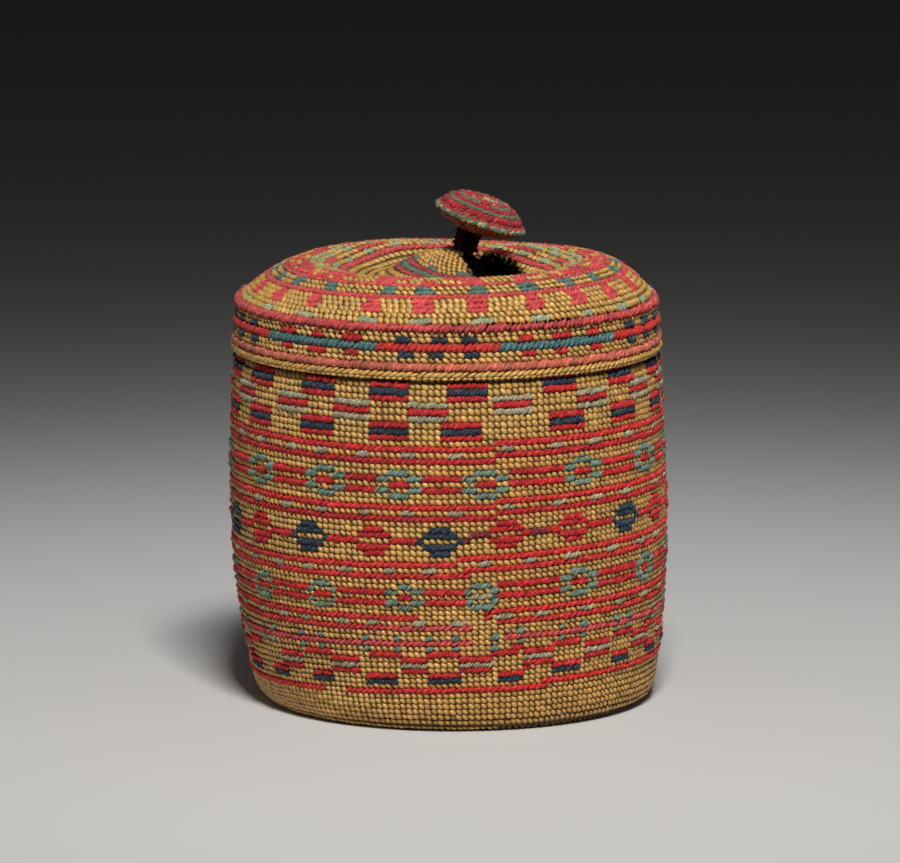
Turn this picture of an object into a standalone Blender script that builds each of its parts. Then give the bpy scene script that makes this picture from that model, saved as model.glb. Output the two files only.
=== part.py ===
"""Lidded basket of twined grass with coloured yarn courses.

A slightly barrel-shaped woven pot leans a little to its left. A woven lid with a short skirt and a
slumped, hollow-centred top sits over its neck and lifts straight off by a tilted, domed knob on a
yarn-wrapped stem. Units are metres, +Z is up, the front is -Y, and the origin is the middle of the base.
"""

import math

import bmesh
import bpy
from mathutils import Matrix, Vector

# Gaps and resolution
GAP = 0.0003  # space between pieces that touch on the real basket
SEGMENTS = 40  # sides of the large turned pieces
KNOB_SEGMENTS = 24  # sides of the knob's turned pieces

# Woven pot
WALL_THICK = 0.0020
BASE_THICK = 0.0020
BASE_EASE = 0.0005  # rounding of the base disc's edges
FOOT_EDGE = 0.0007  # width of the wall's flat edge round the base disc
BELLY_RADIUS = 0.0651
BELLY_HEIGHT = 0.0534
FOOT_PULL = 0.00575  # how far the wall draws in from the belly to the foot
FOOT_POWER = 1.7
FOOT_ROUND_HEIGHT = 0.0080
FOOT_ROUND_WIDTH = 0.0045
TOP_PULL = 0.0020  # how far the wall draws in from the belly to the lid
TOP_POWER = 2.6
LID_LINE = 0.1052  # height of the lid's lower edge
NECK_STEP = 0.0026  # height over which the wall steps in under the lid
RIM_DROP = 0.0037  # depth of the rim's top below the lid's shoulder
RIM_BRAID_DIAMETER = 0.0022
LEAN = 0.0033  # sideways lean that a very tall pot would reach
LEAN_HEIGHT = 0.0500

# Coloured yarn courses round the pot
ROW_PITCH = 0.00181  # just under the lid
ROW_CLOSING = 0.00000259  # how the rows draw closer together towards the foot
FIRST_ROW_DROP = 0.00197  # from the lid's edge down to the first row that shows
COURSE_THICK = 0.0006
COURSE_HEIGHT = 0.0015
COURSE_EASE = 0.0003  # bevel along both edges of a course
COURSE_ROWS = {
    "scarlet": (11, 21, 31, 33, 55),
    "crimson": (13, 23, 41),
    "rose": (43, 46),
}

# Lid
SKIRT_HEIGHT = 0.0157  # from the lid's lower edge to its shoulder
SKIRT_WALL = 0.0015
SKIRT_TAPER = 0.0017
LID_OVERHANG = 0.0011  # how far the skirt stands outside the pot's wall
LID_CLEARANCE = 0.0006
LID_TRAVEL_AXIS_Y = 0.0
EDGE_BRAID_DIAMETER = 0.0026
SKIRT_CORD_HEIGHT = 0.0022
SKIRT_CORD_THICK = 0.0012
SEGMENT_CORD_HEIGHT = 0.0020
SEGMENT_CORD_THICK = 0.0012
SEGMENT_CORD_DROP = 0.00596  # from the shoulder down to the segmented cord
SEGMENT_COUNT = 10
SEGMENT_SWING = 4.0  # degrees by which the first segment starts past the front
CORD_EDGE = 0.7  # thickness of a flat-backed cord at its bevels, as a share of its middle's

# Shoulder cord, and the corner of skirt and top that it covers, as shares of its diameter
SHOULDER_CORD_DIAMETER = 0.0020
SHOULDER_CORD_DROP = 0.1
SHOULDER_CORD_OUT = 0.12
SHOULDER_TUCK = 0.65
SKIRT_TOP_DROP = 0.35
SKIRT_CORNER_DROP = 1.1

# Lid's top: a dome whose middle has sunk round a mound, with a sag behind and a fold beside the stem
TOP_THICK = 0.0018
CREST_RADIUS = 0.0340
CREST_REACH = 0.0120  # how much further the hollow reaches at the front and sides than at the back
CREST_TURN = 1.6
DOME_RISE = 0.0127  # from the shoulder to the crest
DOME_POWER = 2.7
DOME_FULLNESS = 0.5  # extra power on the lid's fuller right side
PIT_RADIUS = 0.0200
PIT_DEPTH = 0.0072
MOUND_X = 0.0050
MOUND_RISE = 0.0095
MOUND_POWER = 3
MOUND_LEFT = 0.0215
MOUND_RIGHT = 0.0090
MOUND_DEPTH = 0.0150
SAG_X = 0.0180
SAG_Y = 0.0400
SAG_WIDTH = 0.0260
SAG_DEPTH = 0.0014
FOLD_X = 0.0155
FOLD_Y = 0.0040
FOLD_WIDTH = 0.0075
FOLD_LENGTH = 0.0110
FOLD_DEPTH = 0.0080

# Yarn rings on the lid's top
TOP_RING_SEAT = 0.00045  # space under a ring, which clears the dome's facets
TOP_RING_THICK = 0.0007
TOP_RING_WIDTH = 0.0017
TOP_RING_EDGE = 0.55  # thickness of a ring at its edges, as a share of its middle's
ROSE_RING_RADIUS = 0.0536
FINE_RING_RADIUS = 0.0482
SAGE_RING_RADIUS = 0.0399
RED_RING_RADIUS = 0.0310

# Stem
KNOB_LEAN_RIGHT = 19.2
KNOB_LEAN_FRONT = 1.8
STEM_LENGTH = 0.0081
STEM_RADIUS = 0.0026
STEM_FOOT_RADIUS = 0.0036
STEM_SEAT = 0.0006  # height of the stem's foot over the woven mound
STEM_FOOT_RINGS = (0.4, 0.75, 1.0)  # shares of the foot's radius that lie on the mound
STEM_FOOT_TOP = 0.0010  # along the stem, where the foot's side ends
STEM_FLARE_TOP = 0.0018  # along the stem, where the flare meets the core
STEM_FLARE = 0.0033  # radius at the top of the foot's side
WRAP_DIAMETER = 0.0008
WRAP_TURNS = 4
WRAP_PITCH = 0.00125
WRAP_POINTS_PER_TURN = 24
WRAP_START = 0.0019  # along the stem, above its foot

# Knob: a cushion whose origin is the middle of its rim's plane
KNOB_RADIUS = 0.0142
KNOB_SHIFT = 0.0015  # how far it sits to the right of the stem's end
KNOB_CROWN = 0.0064  # rise of the yarn-covered face over the rim
KNOB_CROWN_POWER = 3.9
KNOB_DEPTH = 0.0034  # from the rim down to the underside
KNOB_UNDER_POWER = 3.0
KNOB_COURSE_THICK = 0.0008
KNOB_COURSE_EDGE = 0.6  # thickness of a course at its edges, as a share of its middle's
KNOB_EDGE_ABOVE = 0.972  # how far in the edge course reaches on the face, as a share of the core
KNOB_EDGE_BELOW = 0.90  # and how far in on the underside
KNOB_COURSES = {  # name: (inner share, outer share) of the core's radius, and the colour
    "knob_red_band": (0.85, 0.95, "knob_red"),
    "knob_sage_line": (0.76, 0.82, "sage"),
    "knob_red_line": (0.66, 0.73, "knob_red"),
    "knob_sage_ring": (0.56, 0.63, "sage"),
    "knob_button": (0.0, 0.53, "knob_red"),
}

COLOURS = {  # sRGB by eye
    "grass": (200, 165, 100),
    "braid": (215, 175, 100),
    "scarlet": (200, 45, 45),
    "crimson": (175, 25, 45),
    "rose": (190, 80, 85),
    "salmon": (200, 115, 95),
    "teal": (70, 125, 130),
    "sage": (120, 140, 110),
    "knob_red": (195, 30, 50),
    "stem": (40, 15, 20),
}


def body_radius(z):
    """Outer radius of the pot: a belly that draws in to a rounded foot and to the lid."""
    below = min(max((BELLY_HEIGHT - z) / BELLY_HEIGHT, 0.0), 1.0)
    above = max((z - BELLY_HEIGHT) / (LID_LINE - BELLY_HEIGHT), 0.0)
    turn = min(max((FOOT_ROUND_HEIGHT - z) / FOOT_ROUND_HEIGHT, 0.0), 1.0)
    rounding = FOOT_ROUND_WIDTH * (1.0 - math.sqrt(1.0 - turn * turn))
    return BELLY_RADIUS - FOOT_PULL * below**FOOT_POWER - rounding - TOP_PULL * above**TOP_POWER


def body_lean(z):
    """How far the pot's middle has moved to the left at height z."""
    return -LEAN * (1.0 - math.exp(-z / LEAN_HEIGHT))


def skirt_radius(z):
    """Outer radius of the lid's skirt at height z above its lower edge."""
    low = body_radius(LID_LINE) + LID_OVERHANG
    return low - SKIRT_TAPER * z / SKIRT_HEIGHT


def neck_radius(z):
    """Outer radius of the pot's neck, which clears the inside of the skirt."""
    return skirt_radius(z - LID_LINE) - SKIRT_WALL - LID_CLEARANCE


def smooth(x):
    """Smooth step from 0 to 1."""
    x = min(max(x, 0.0), 1.0)
    return x * x * (3.0 - 2.0 * x)


def dome_height(x, y):
    """Height of the lid's top over its lower edge: a dome whose middle has sunk round a mound."""
    radius = math.hypot(x, y)
    side = x / radius if radius > 1e-9 else 0.0
    front = -y / radius if radius > 1e-9 else 0.0
    shoulder = skirt_radius(SKIRT_HEIGHT)
    outward = max((radius - CREST_RADIUS) / (shoulder - CREST_RADIUS), 0.0)
    dome = DOME_RISE * (1.0 - outward ** (DOME_POWER + DOME_FULLNESS * side))
    behind = ((x - SAG_X) / SAG_WIDTH) ** 2 + ((y - SAG_Y) / SAG_WIDTH) ** 2
    sag = SAG_DEPTH * (1.0 - outward**2) * math.exp(-behind)
    crest = CREST_RADIUS + CREST_REACH * smooth(CREST_TURN * (1.0 + front))
    sunk = smooth((crest - radius) / (crest - PIT_RADIUS))
    spread = MOUND_LEFT if x < MOUND_X else MOUND_RIGHT
    across = abs((x - MOUND_X) / spread) ** MOUND_POWER
    mound = MOUND_RISE * math.exp(-across - (y / MOUND_DEPTH) ** 2)
    beside = ((x - FOLD_X) / FOLD_WIDTH) ** 2 + ((y - FOLD_Y) / FOLD_LENGTH) ** 2
    fold = FOLD_DEPTH * math.exp(-beside)
    return SKIRT_HEIGHT + dome - sag + sunk * (mound - PIT_DEPTH) - fold


def material(name):
    """Plain finish in one of the named colours."""
    finish = bpy.data.materials.get(name) or bpy.data.materials.new(name)
    finish.use_nodes = True
    linear = [(value / 255.0) ** 2.2 for value in COLOURS[name]]
    shader = finish.node_tree.nodes["Principled BSDF"]
    shader.inputs["Base Color"].default_value = (*linear, 1.0)
    shader.inputs["Roughness"].default_value = 0.85
    shader.inputs["Metallic"].default_value = 0.0
    finish.diffuse_color = (*linear, 1.0)
    return finish


def finish_object(name, bm, colour, parent=None):
    """Make an object from a closed bmesh, shade it smooth and hang it on its parent."""
    bmesh.ops.recalc_face_normals(bm, faces=bm.faces)
    mesh = bpy.data.meshes.new(name)
    bm.to_mesh(mesh)
    bm.free()
    mesh.shade_smooth()
    mesh.set_sharp_from_angle(angle=math.radians(40.0))
    mesh.materials.append(material(colour))
    piece = bpy.data.objects.new(name, mesh)
    bpy.context.collection.objects.link(piece)
    piece.parent = parent
    return piece


def turn_outline(outline, steps=SEGMENTS):
    """Spin an outline of (radius, height) points about Z; one that starts on the axis ends on it."""
    bm = bmesh.new()
    corners = [bm.verts.new((radius, 0.0, height)) for radius, height in outline]
    closing = [] if outline[0][0] == 0.0 else corners[:1]
    edges = [bm.edges.new(ends) for ends in zip(corners, corners[1:] + closing)]
    bmesh.ops.spin(
        bm,
        geom=corners + edges,
        axis=(0.0, 0.0, 1.0),
        cent=(0.0, 0.0, 0.0),
        angle=2.0 * math.pi,
        steps=steps,
        use_merge=True,
    )
    bmesh.ops.remove_doubles(bm, verts=bm.verts, dist=1e-7)
    return bm


def round_outline(radius, height, diameter, sides=6):
    """Outline of a round cord whose centre line has this radius and height."""
    turns = [2.0 * math.pi * (k + 0.5) / sides for k in range(sides)]
    return [
        (radius + 0.5 * diameter * math.cos(a), height + 0.5 * diameter * math.sin(a)) for a in turns
    ]


def band_outline(surface, height, width, thick, edge=1.0):
    """Outline of a flat-backed yarn course a gap off a surface radius(height), thinner at its edges."""
    low = height - width / 2.0
    high = height + width / 2.0
    return [
        (surface(high) + GAP, high),
        (surface(low) + GAP, low),
        (surface(low) + GAP + edge * thick, low + COURSE_EASE),
        (surface(height) + GAP + thick, height),
        (surface(high) + GAP + edge * thick, high - COURSE_EASE),
    ]


def lean_mesh(bm):
    """Lean an upright turned piece of the pot to the left, more and more with height."""
    for vert in bm.verts:
        vert.co.x += body_lean(vert.co.z)
    return bm


def drape_mesh(bm):
    """Lay a flat turned piece over the lid's sunken dome."""
    for vert in bm.verts:
        vert.co.z += dome_height(vert.co.x, vert.co.y)
    return bm


def steps_between(low, high, count):
    """Evenly spaced values from low to high, both included."""
    return [low + (high - low) * k / count for k in range(count + 1)]


def base_radius():
    """Radius of the base disc, which fits inside the wall's foot."""
    return body_radius(0.0) - FOOT_EDGE - GAP


def rim_top():
    """Height of the top of the pot's rim braid."""
    return LID_LINE + SKIRT_HEIGHT - RIM_DROP


def add_base():
    """Woven bottom: a flat disc with eased edges."""
    radius = base_radius()
    outline = [
        (0.0, 0.0),
        (radius - BASE_EASE, 0.0),
        (radius, BASE_EASE),
        (radius, BASE_THICK - BASE_EASE),
        (radius - BASE_EASE, BASE_THICK),
        (0.0, BASE_THICK),
    ]
    finish_object("basket_base", turn_outline(outline), "grass")


def add_wall():
    """Woven wall: rounded foot, belly, and a neck that steps in to go under the lid."""
    neck_low = LID_LINE - NECK_STEP
    top = rim_top() - RIM_BRAID_DIAMETER - GAP
    foot = [FOOT_ROUND_HEIGHT * (1.0 - math.cos(math.radians(a))) for a in (0, 25, 50, 70, 90)]
    outer_heights = foot + steps_between(FOOT_ROUND_HEIGHT, neck_low, 8)[1:]
    outer = [(body_radius(z), z) for z in outer_heights]
    neck = [(neck_radius(z), z) for z in steps_between(LID_LINE, top, 2)]
    lip_in = base_radius() + GAP
    floor_line = BASE_THICK + 0.5 * WALL_THICK
    inner_heights = steps_between(2.0 * floor_line, neck_low, 7)
    inner = [(body_radius(z) - WALL_THICK, z) for z in inner_heights]
    inner_neck = [(radius - WALL_THICK, z) for radius, z in neck]
    heel = [(lip_in, 0.0), (lip_in, BASE_THICK), (body_radius(floor_line) - WALL_THICK, floor_line)]
    outline = outer + neck + inner_neck[::-1] + inner[::-1] + heel[::-1]
    finish_object("basket_wall", lean_mesh(turn_outline(outline)), "grass")


def add_rim_braid():
    """Braided edge that finishes the pot's neck; the lid rests on it."""
    height = rim_top() - RIM_BRAID_DIAMETER / 2.0
    radius = neck_radius(height) - WALL_THICK / 2.0
    outline = round_outline(radius, height, RIM_BRAID_DIAMETER)
    finish_object("rim_braid", lean_mesh(turn_outline(outline)), "braid")


def row_height(row):
    """Height of a row's middle; row 1 is the first one below the lid."""
    rows_below = row - 1
    return LID_LINE - FIRST_ROW_DROP - ROW_PITCH * rows_below + ROW_CLOSING * rows_below**2


def add_courses():
    """Full courses of coloured yarn that wrap the outside of the wall."""
    for colour, rows in COURSE_ROWS.items():
        for row in rows:
            outline = band_outline(body_radius, row_height(row), COURSE_HEIGHT, COURSE_THICK)
            finish_object(f"yarn_course_{row:02d}", lean_mesh(turn_outline(outline)), colour)


def add_lid_axis():
    """Empty on the lid's lifting axis, at the height of its lower edge."""
    axis = bpy.data.objects.new("lid_axis", None)
    axis.location = (body_lean(LID_LINE), LID_TRAVEL_AXIS_Y, LID_LINE)
    bpy.context.collection.objects.link(axis)
    return axis


def add_skirt(lid):
    """Lid's woven side wall, turned in at the top under the shoulder cord."""
    low = EDGE_BRAID_DIAMETER + GAP
    corner = SKIRT_HEIGHT - SKIRT_CORNER_DROP * SHOULDER_CORD_DIAMETER
    top = SKIRT_HEIGHT - SKIRT_TOP_DROP * SHOULDER_CORD_DIAMETER
    tuck = SHOULDER_TUCK * SHOULDER_CORD_DIAMETER
    outer = [(skirt_radius(z), z) for z in steps_between(low, corner, 3)]
    outer.append((skirt_radius(top) - tuck, top))
    inner = [(radius - SKIRT_WALL, z) for radius, z in outer]
    finish_object("lid_skirt", turn_outline(outer + inner[::-1]), "grass", lid)


def add_lid_cords(lid):
    """Braided edge, salmon cord and rose shoulder cord of the lid."""
    edge_height = EDGE_BRAID_DIAMETER / 2.0
    edge_radius = skirt_radius(edge_height) - SKIRT_WALL + EDGE_BRAID_DIAMETER / 2.0
    edge = round_outline(edge_radius, edge_height, EDGE_BRAID_DIAMETER)
    finish_object("lid_edge_braid", turn_outline(edge), "braid", lid)

    cord_height = EDGE_BRAID_DIAMETER + GAP + SKIRT_CORD_HEIGHT / 2.0
    cord = band_outline(skirt_radius, cord_height, SKIRT_CORD_HEIGHT, SKIRT_CORD_THICK, CORD_EDGE)
    finish_object("skirt_cord_salmon", turn_outline(cord), "salmon", lid)

    shoulder_height = SKIRT_HEIGHT - SHOULDER_CORD_DROP * SHOULDER_CORD_DIAMETER
    shoulder_radius = skirt_radius(SKIRT_HEIGHT) + SHOULDER_CORD_OUT * SHOULDER_CORD_DIAMETER
    shoulder = round_outline(shoulder_radius, shoulder_height, SHOULDER_CORD_DIAMETER)
    finish_object("shoulder_cord_rose", turn_outline(shoulder), "rose", lid)


def bend_segment(outline, start, end, steps):
    """Closed bar with this cross-section, bent round Z from one angle to another."""
    bm = bmesh.new()
    rings = []
    for k in range(steps + 1):
        turn = Matrix.Rotation(start + (end - start) * k / steps, 3, "Z")
        rings.append([bm.verts.new(turn @ Vector((radius, 0.0, z))) for radius, z in outline])
    for near, far in zip(rings, rings[1:]):
        for a in range(len(outline)):
            b = (a + 1) % len(outline)
            bm.faces.new((near[a], near[b], far[b], far[a]))
    bm.faces.new(rings[0][::-1])
    bm.faces.new(rings[-1])
    return bm


def add_segmented_cord(lid):
    """Ten lengths of thick yarn, teal and red by turns, laid end to end round the skirt."""
    height = SKIRT_HEIGHT - SEGMENT_CORD_DROP
    thick = SEGMENT_CORD_THICK
    outline = band_outline(skirt_radius, height, SEGMENT_CORD_HEIGHT, thick, CORD_EDGE)
    span = 2.0 * math.pi / SEGMENT_COUNT
    space = GAP / skirt_radius(height)
    for k in range(SEGMENT_COUNT):
        colour = ("scarlet", "teal")[k % 2]
        start = math.radians(SEGMENT_SWING - 90.0) + (k - 0.5) * span
        bar = bend_segment(outline, start + space, start + span - space, 5)
        finish_object(f"skirt_cord_{colour}_{k // 2 + 1}", bar, colour, lid)


def add_lid_top(lid):
    """Woven top: a dome that has sunk round its middle, where a mound carries the knob."""
    edge = skirt_radius(SKIRT_HEIGHT) - SHOULDER_TUCK * SHOULDER_CORD_DIAMETER
    front_crest = CREST_RADIUS + CREST_REACH
    pit = steps_between(0.0, PIT_RADIUS, 8)
    slope = steps_between(PIT_RADIUS, front_crest, 6)[1:]
    dome = steps_between(front_crest, edge, 4)[1:]
    upper = [(radius, 0.0) for radius in pit + slope + dome]
    lower = [(radius, -TOP_THICK) for radius in pit[::2] + slope[1::2] + dome]
    outline = upper + lower[::-1]
    finish_object("lid_top", drape_mesh(turn_outline(outline)), "grass", lid)


def add_top_ring(lid, name, radius, colour):
    """Coloured ring of yarn on the lid's top, laid over its dome."""
    inner = radius - TOP_RING_WIDTH / 2.0
    outer = radius + TOP_RING_WIDTH / 2.0
    edge = TOP_RING_SEAT + TOP_RING_EDGE * TOP_RING_THICK
    outline = [
        (inner, TOP_RING_SEAT),
        (outer, TOP_RING_SEAT),
        (outer, edge),
        (radius, TOP_RING_SEAT + TOP_RING_THICK),
        (inner, edge),
    ]
    finish_object(name, drape_mesh(turn_outline(outline)), colour, lid)


def stem_frame():
    """Matrix of the stem: its origin is the foot on the mound, its Z runs up the leaning stem."""
    lean = Matrix.Rotation(math.radians(KNOB_LEAN_FRONT), 4, "X")
    lean = lean @ Matrix.Rotation(math.radians(KNOB_LEAN_RIGHT), 4, "Y")
    foot = Vector((MOUND_X, 0.0, dome_height(MOUND_X, 0.0) + GAP))
    return Matrix.Translation(foot) @ lean


def add_stem(lid):
    """Stem of the knob: a foot that spreads over the mound, then a leaning core."""
    frame = stem_frame()
    turns = [2.0 * math.pi * k / KNOB_SEGMENTS for k in range(KNOB_SEGMENTS)]
    bm = bmesh.new()

    def seat(x, y):
        return bm.verts.new((x, y, dome_height(x, y) + STEM_SEAT))

    rings = []
    for share in STEM_FOOT_RINGS:
        reach = share * STEM_FOOT_RADIUS
        rings.append([seat(MOUND_X + reach * math.cos(a), reach * math.sin(a)) for a in turns])
    sides = (
        (STEM_FOOT_TOP, STEM_FLARE),
        (STEM_FLARE_TOP, STEM_RADIUS),
        (STEM_LENGTH, STEM_RADIUS),
    )
    for rise, radius in sides:
        points = [frame @ Vector((radius * math.cos(a), radius * math.sin(a), rise)) for a in turns]
        rings.append([bm.verts.new(point) for point in points])
    for low, high in zip(rings, rings[1:]):
        for a in range(KNOB_SEGMENTS):
            b = (a + 1) % KNOB_SEGMENTS
            bm.faces.new((low[a], low[b], high[b], high[a]))
    middle = seat(MOUND_X, 0.0)
    for a in range(KNOB_SEGMENTS):
        bm.faces.new((rings[0][(a + 1) % KNOB_SEGMENTS], rings[0][a], middle))
    bm.faces.new(rings[-1])
    finish_object("knob_stem", bm, "stem", lid)


def add_wrapping(lid):
    """Dark yarn wound round the stem in one unbroken helix."""
    radius = STEM_RADIUS + GAP + WRAP_DIAMETER / 2.0
    count = WRAP_TURNS * WRAP_POINTS_PER_TURN
    curve = bpy.data.curves.new("stem_wrapping_path", "CURVE")
    curve.dimensions = "3D"
    curve.bevel_depth = WRAP_DIAMETER / 2.0
    curve.bevel_resolution = 1
    curve.use_fill_caps = True
    spline = curve.splines.new("POLY")
    spline.points.add(count)
    for k, point in enumerate(spline.points):
        angle = 2.0 * math.pi * k / WRAP_POINTS_PER_TURN
        rise = WRAP_START + WRAP_DIAMETER / 2.0 + WRAP_PITCH * k / WRAP_POINTS_PER_TURN
        point.co = (radius * math.cos(angle), radius * math.sin(angle), rise, 1.0)
    curve.materials.append(material("stem"))
    wrapping = bpy.data.objects.new("stem_wrapping", curve)
    bpy.context.collection.objects.link(wrapping)
    wrapping.parent = lid
    wrapping.matrix_local = stem_frame()
    print(f"least gap between turns of the wrapping: {(WRAP_PITCH - WRAP_DIAMETER) * 1000:.2f} mm")


def knob_core_radius():
    """Radius of the knob's core, which its yarn courses cover."""
    return KNOB_RADIUS - KNOB_COURSE_THICK - GAP


def knob_face(radius, off=0.0):
    """Point of the core's upper side at this radius, moved off it along its normal."""
    core = knob_core_radius()
    crown = KNOB_CROWN - KNOB_COURSE_THICK - GAP
    share = radius / core
    slope = crown * KNOB_CROWN_POWER * share ** (KNOB_CROWN_POWER - 1.0) / core
    length = math.hypot(1.0, slope)
    height = crown * (1.0 - share**KNOB_CROWN_POWER)
    return radius + off * slope / length, height + off / length


def knob_under(radius, off=0.0):
    """Point of the core's underside at this radius, moved off it along its normal."""
    core = knob_core_radius()
    share = radius / core
    slope = KNOB_DEPTH * KNOB_UNDER_POWER * share ** (KNOB_UNDER_POWER - 1.0) / core
    length = math.hypot(1.0, slope)
    height = -KNOB_DEPTH * (1.0 - share**KNOB_UNDER_POWER)
    return radius + off * slope / length, height - off / length


def add_knob(lid):
    """Cushion of the knob: a domed core, its edge course and the yarn courses on its face."""
    place = Vector((KNOB_SHIFT, 0.0, STEM_LENGTH + KNOB_DEPTH + GAP))
    frame = stem_frame() @ Matrix.Translation(place)
    core = knob_core_radius()
    radii = steps_between(0.0, core, 10)
    under = [knob_under(radius) for radius in radii[:-1:3]]
    face = [knob_face(radius) for radius in radii]
    disc = turn_outline(under + face[::-1], KNOB_SEGMENTS)
    pieces = [finish_object("knob_disc", disc, "grass", lid)]

    above = KNOB_EDGE_ABOVE * core
    below = KNOB_EDGE_BELOW * core
    thin = GAP + KNOB_COURSE_EDGE * KNOB_COURSE_THICK
    edge = [
        knob_face(above, GAP),
        knob_face(core, GAP),
        knob_under(core, GAP),
        knob_under(below, GAP),
        knob_under(below, thin),
        (KNOB_RADIUS, knob_under(core, GAP)[1]),
        (KNOB_RADIUS, knob_face(core, GAP)[1]),
        knob_face(above, thin),
    ]
    pieces.append(finish_object("knob_edge_course", turn_outline(edge, KNOB_SEGMENTS), "sage", lid))

    for name, (inner, outer, colour) in KNOB_COURSES.items():
        radii = steps_between(inner * core, outer * core, 4)
        back = [knob_face(radius, GAP) for radius in radii]
        thick = [thin] + 3 * [GAP + KNOB_COURSE_THICK] + [thin]
        front = [knob_face(radius, off) for radius, off in zip(radii, thick)]
        course = turn_outline(back + front[::-1], KNOB_SEGMENTS)
        pieces.append(finish_object(name, course, colour, lid))
    for piece in pieces:
        piece.matrix_local = frame


def main():
    for old in list(bpy.data.objects):
        bpy.data.objects.remove(old, do_unlink=True)
    add_base()
    add_wall()
    add_rim_braid()
    add_courses()
    lid = add_lid_axis()
    add_skirt(lid)
    add_lid_cords(lid)
    add_segmented_cord(lid)
    add_lid_top(lid)
    add_top_ring(lid, "top_ring_rose", ROSE_RING_RADIUS, "rose")
    add_top_ring(lid, "top_ring_fine", FINE_RING_RADIUS, "rose")
    add_top_ring(lid, "crest_ring_sage", SAGE_RING_RADIUS, "sage")
    add_top_ring(lid, "pit_ring_red", RED_RING_RADIUS, "scarlet")
    add_stem(lid)
    add_wrapping(lid)
    add_knob(lid)


main()
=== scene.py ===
# %% [markdown]
# # A lidded basket of twined grass and coloured yarn
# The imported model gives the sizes, the joint and a closed solid for every stretch of fabric. This
# lesson dresses it: each visible stitch of the real basket becomes a small closed bead of its own,
# laid in rows along the same shapes. One numpy grid, repeated by whole arrays, makes all of them.

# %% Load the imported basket
import math

import bpy
import numpy as np
from mathutils import Matrix, Vector


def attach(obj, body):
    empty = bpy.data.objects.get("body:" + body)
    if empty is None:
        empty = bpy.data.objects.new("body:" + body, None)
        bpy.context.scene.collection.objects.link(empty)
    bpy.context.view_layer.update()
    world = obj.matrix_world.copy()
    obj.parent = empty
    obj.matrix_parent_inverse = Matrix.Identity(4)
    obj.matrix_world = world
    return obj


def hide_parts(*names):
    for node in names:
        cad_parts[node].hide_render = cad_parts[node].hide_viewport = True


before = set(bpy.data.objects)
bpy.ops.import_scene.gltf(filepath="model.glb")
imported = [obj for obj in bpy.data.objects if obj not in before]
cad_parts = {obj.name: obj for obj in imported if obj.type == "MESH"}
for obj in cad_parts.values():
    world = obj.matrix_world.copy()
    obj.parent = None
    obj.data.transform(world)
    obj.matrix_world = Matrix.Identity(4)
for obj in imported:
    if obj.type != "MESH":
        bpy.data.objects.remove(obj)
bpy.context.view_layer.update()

MM = 0.001
chance = np.random.default_rng(20)

# %% [markdown]
# ## Camera
# The basket was looked at from about two metres with a long lens, a little above its lid. The long
# lens keeps the two sides nearly parallel, so the lid shows as a thin ellipse. The place and the lens
# were found by fitting the outlines of the base, the lid's edge and its shoulder.

# %% Camera
CAMERA_PLACE = Vector((-0.00187, -2.1258, 0.43761))
CAMERA_AIM = Vector((-0.00187, 0.0, 0.08001))
eye = bpy.data.cameras.new("studio_camera")
eye.lens = 287.03
eye.sensor_width = 36.0
eye.clip_end = 20.0
camera = bpy.data.objects.new("studio_camera", eye)
camera.location = CAMERA_PLACE
camera.rotation_euler = (CAMERA_AIM - CAMERA_PLACE).to_track_quat("-Z", "Y").to_euler()
bpy.context.collection.objects.link(camera)
bpy.context.scene.camera = camera
bpy.context.scene.view_settings.view_transform = "Standard"
print(f"camera {(CAMERA_AIM - CAMERA_PLACE).length:.2f} m away with a {eye.lens:.0f} mm lens")

# %% [markdown]
# ## Floor and light
# A pale sweep of paper is one surface: flat under the basket, then curving up far behind it. A
# profile carried sideways makes it. Every mesh of this lesson is put together from whole arrays of
# points and faces by one short function, and its colours and maps are written the same way.


# %% Mesh from arrays
def grid_faces(wide, high, closed=False):
    """Corner numbers of the squares on a grid of wide by high points.

    Closed joins the last column to the first.
    """
    i, j = np.meshgrid(np.arange(wide if closed else wide - 1), np.arange(high - 1), indexing="ij")
    k = (i + 1) % wide
    return np.stack([i * high + j, k * high + j, k * high + j + 1, i * high + j + 1], -1).reshape(-1, 4)


def make_piece(name, points, quads, triangles=None):
    """Smooth mesh object from arrays of points, squares and triangles."""
    triangles = np.zeros((0, 3), int) if triangles is None else triangles
    corners = np.concatenate([np.ravel(quads), np.ravel(triangles)]).astype(np.int32)
    sizes = np.concatenate([np.full(len(quads), 4), np.full(len(triangles), 3)])
    mesh = bpy.data.meshes.new(name)
    mesh.vertices.add(len(points))
    mesh.vertices.foreach_set("co", np.ravel(points).astype(np.float32))
    mesh.loops.add(len(corners))
    mesh.loops.foreach_set("vertex_index", corners)
    mesh.polygons.add(len(sizes))
    mesh.polygons.foreach_set("loop_start", (np.cumsum(sizes) - sizes).astype(np.int32))
    mesh.update(calc_edges=True)
    mesh.shade_smooth()
    piece = bpy.data.objects.new(name, mesh)
    bpy.context.collection.objects.link(piece)
    return piece


def write_points(piece, name, kind, values):
    """Named attribute of a mesh, with one row of values for each of its points."""
    field = {"FLOAT_COLOR": "color", "FLOAT_VECTOR": "vector"}[kind]
    layer = piece.data.attributes.new(name, kind, "POINT")
    layer.data.foreach_set(field, values.astype(np.float32).ravel())


def write_map(piece, name, places):
    """Named map of a mesh, with one place for each corner of each face."""
    layer = piece.data.uv_layers.new(name=name)
    layer.data.foreach_set("uv", places.astype(np.float32).ravel())


def count_triangles(piece):
    """How many triangles a mesh has once its squares are split."""
    return len(piece.data.loops) - 2 * len(piece.data.polygons)


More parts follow.
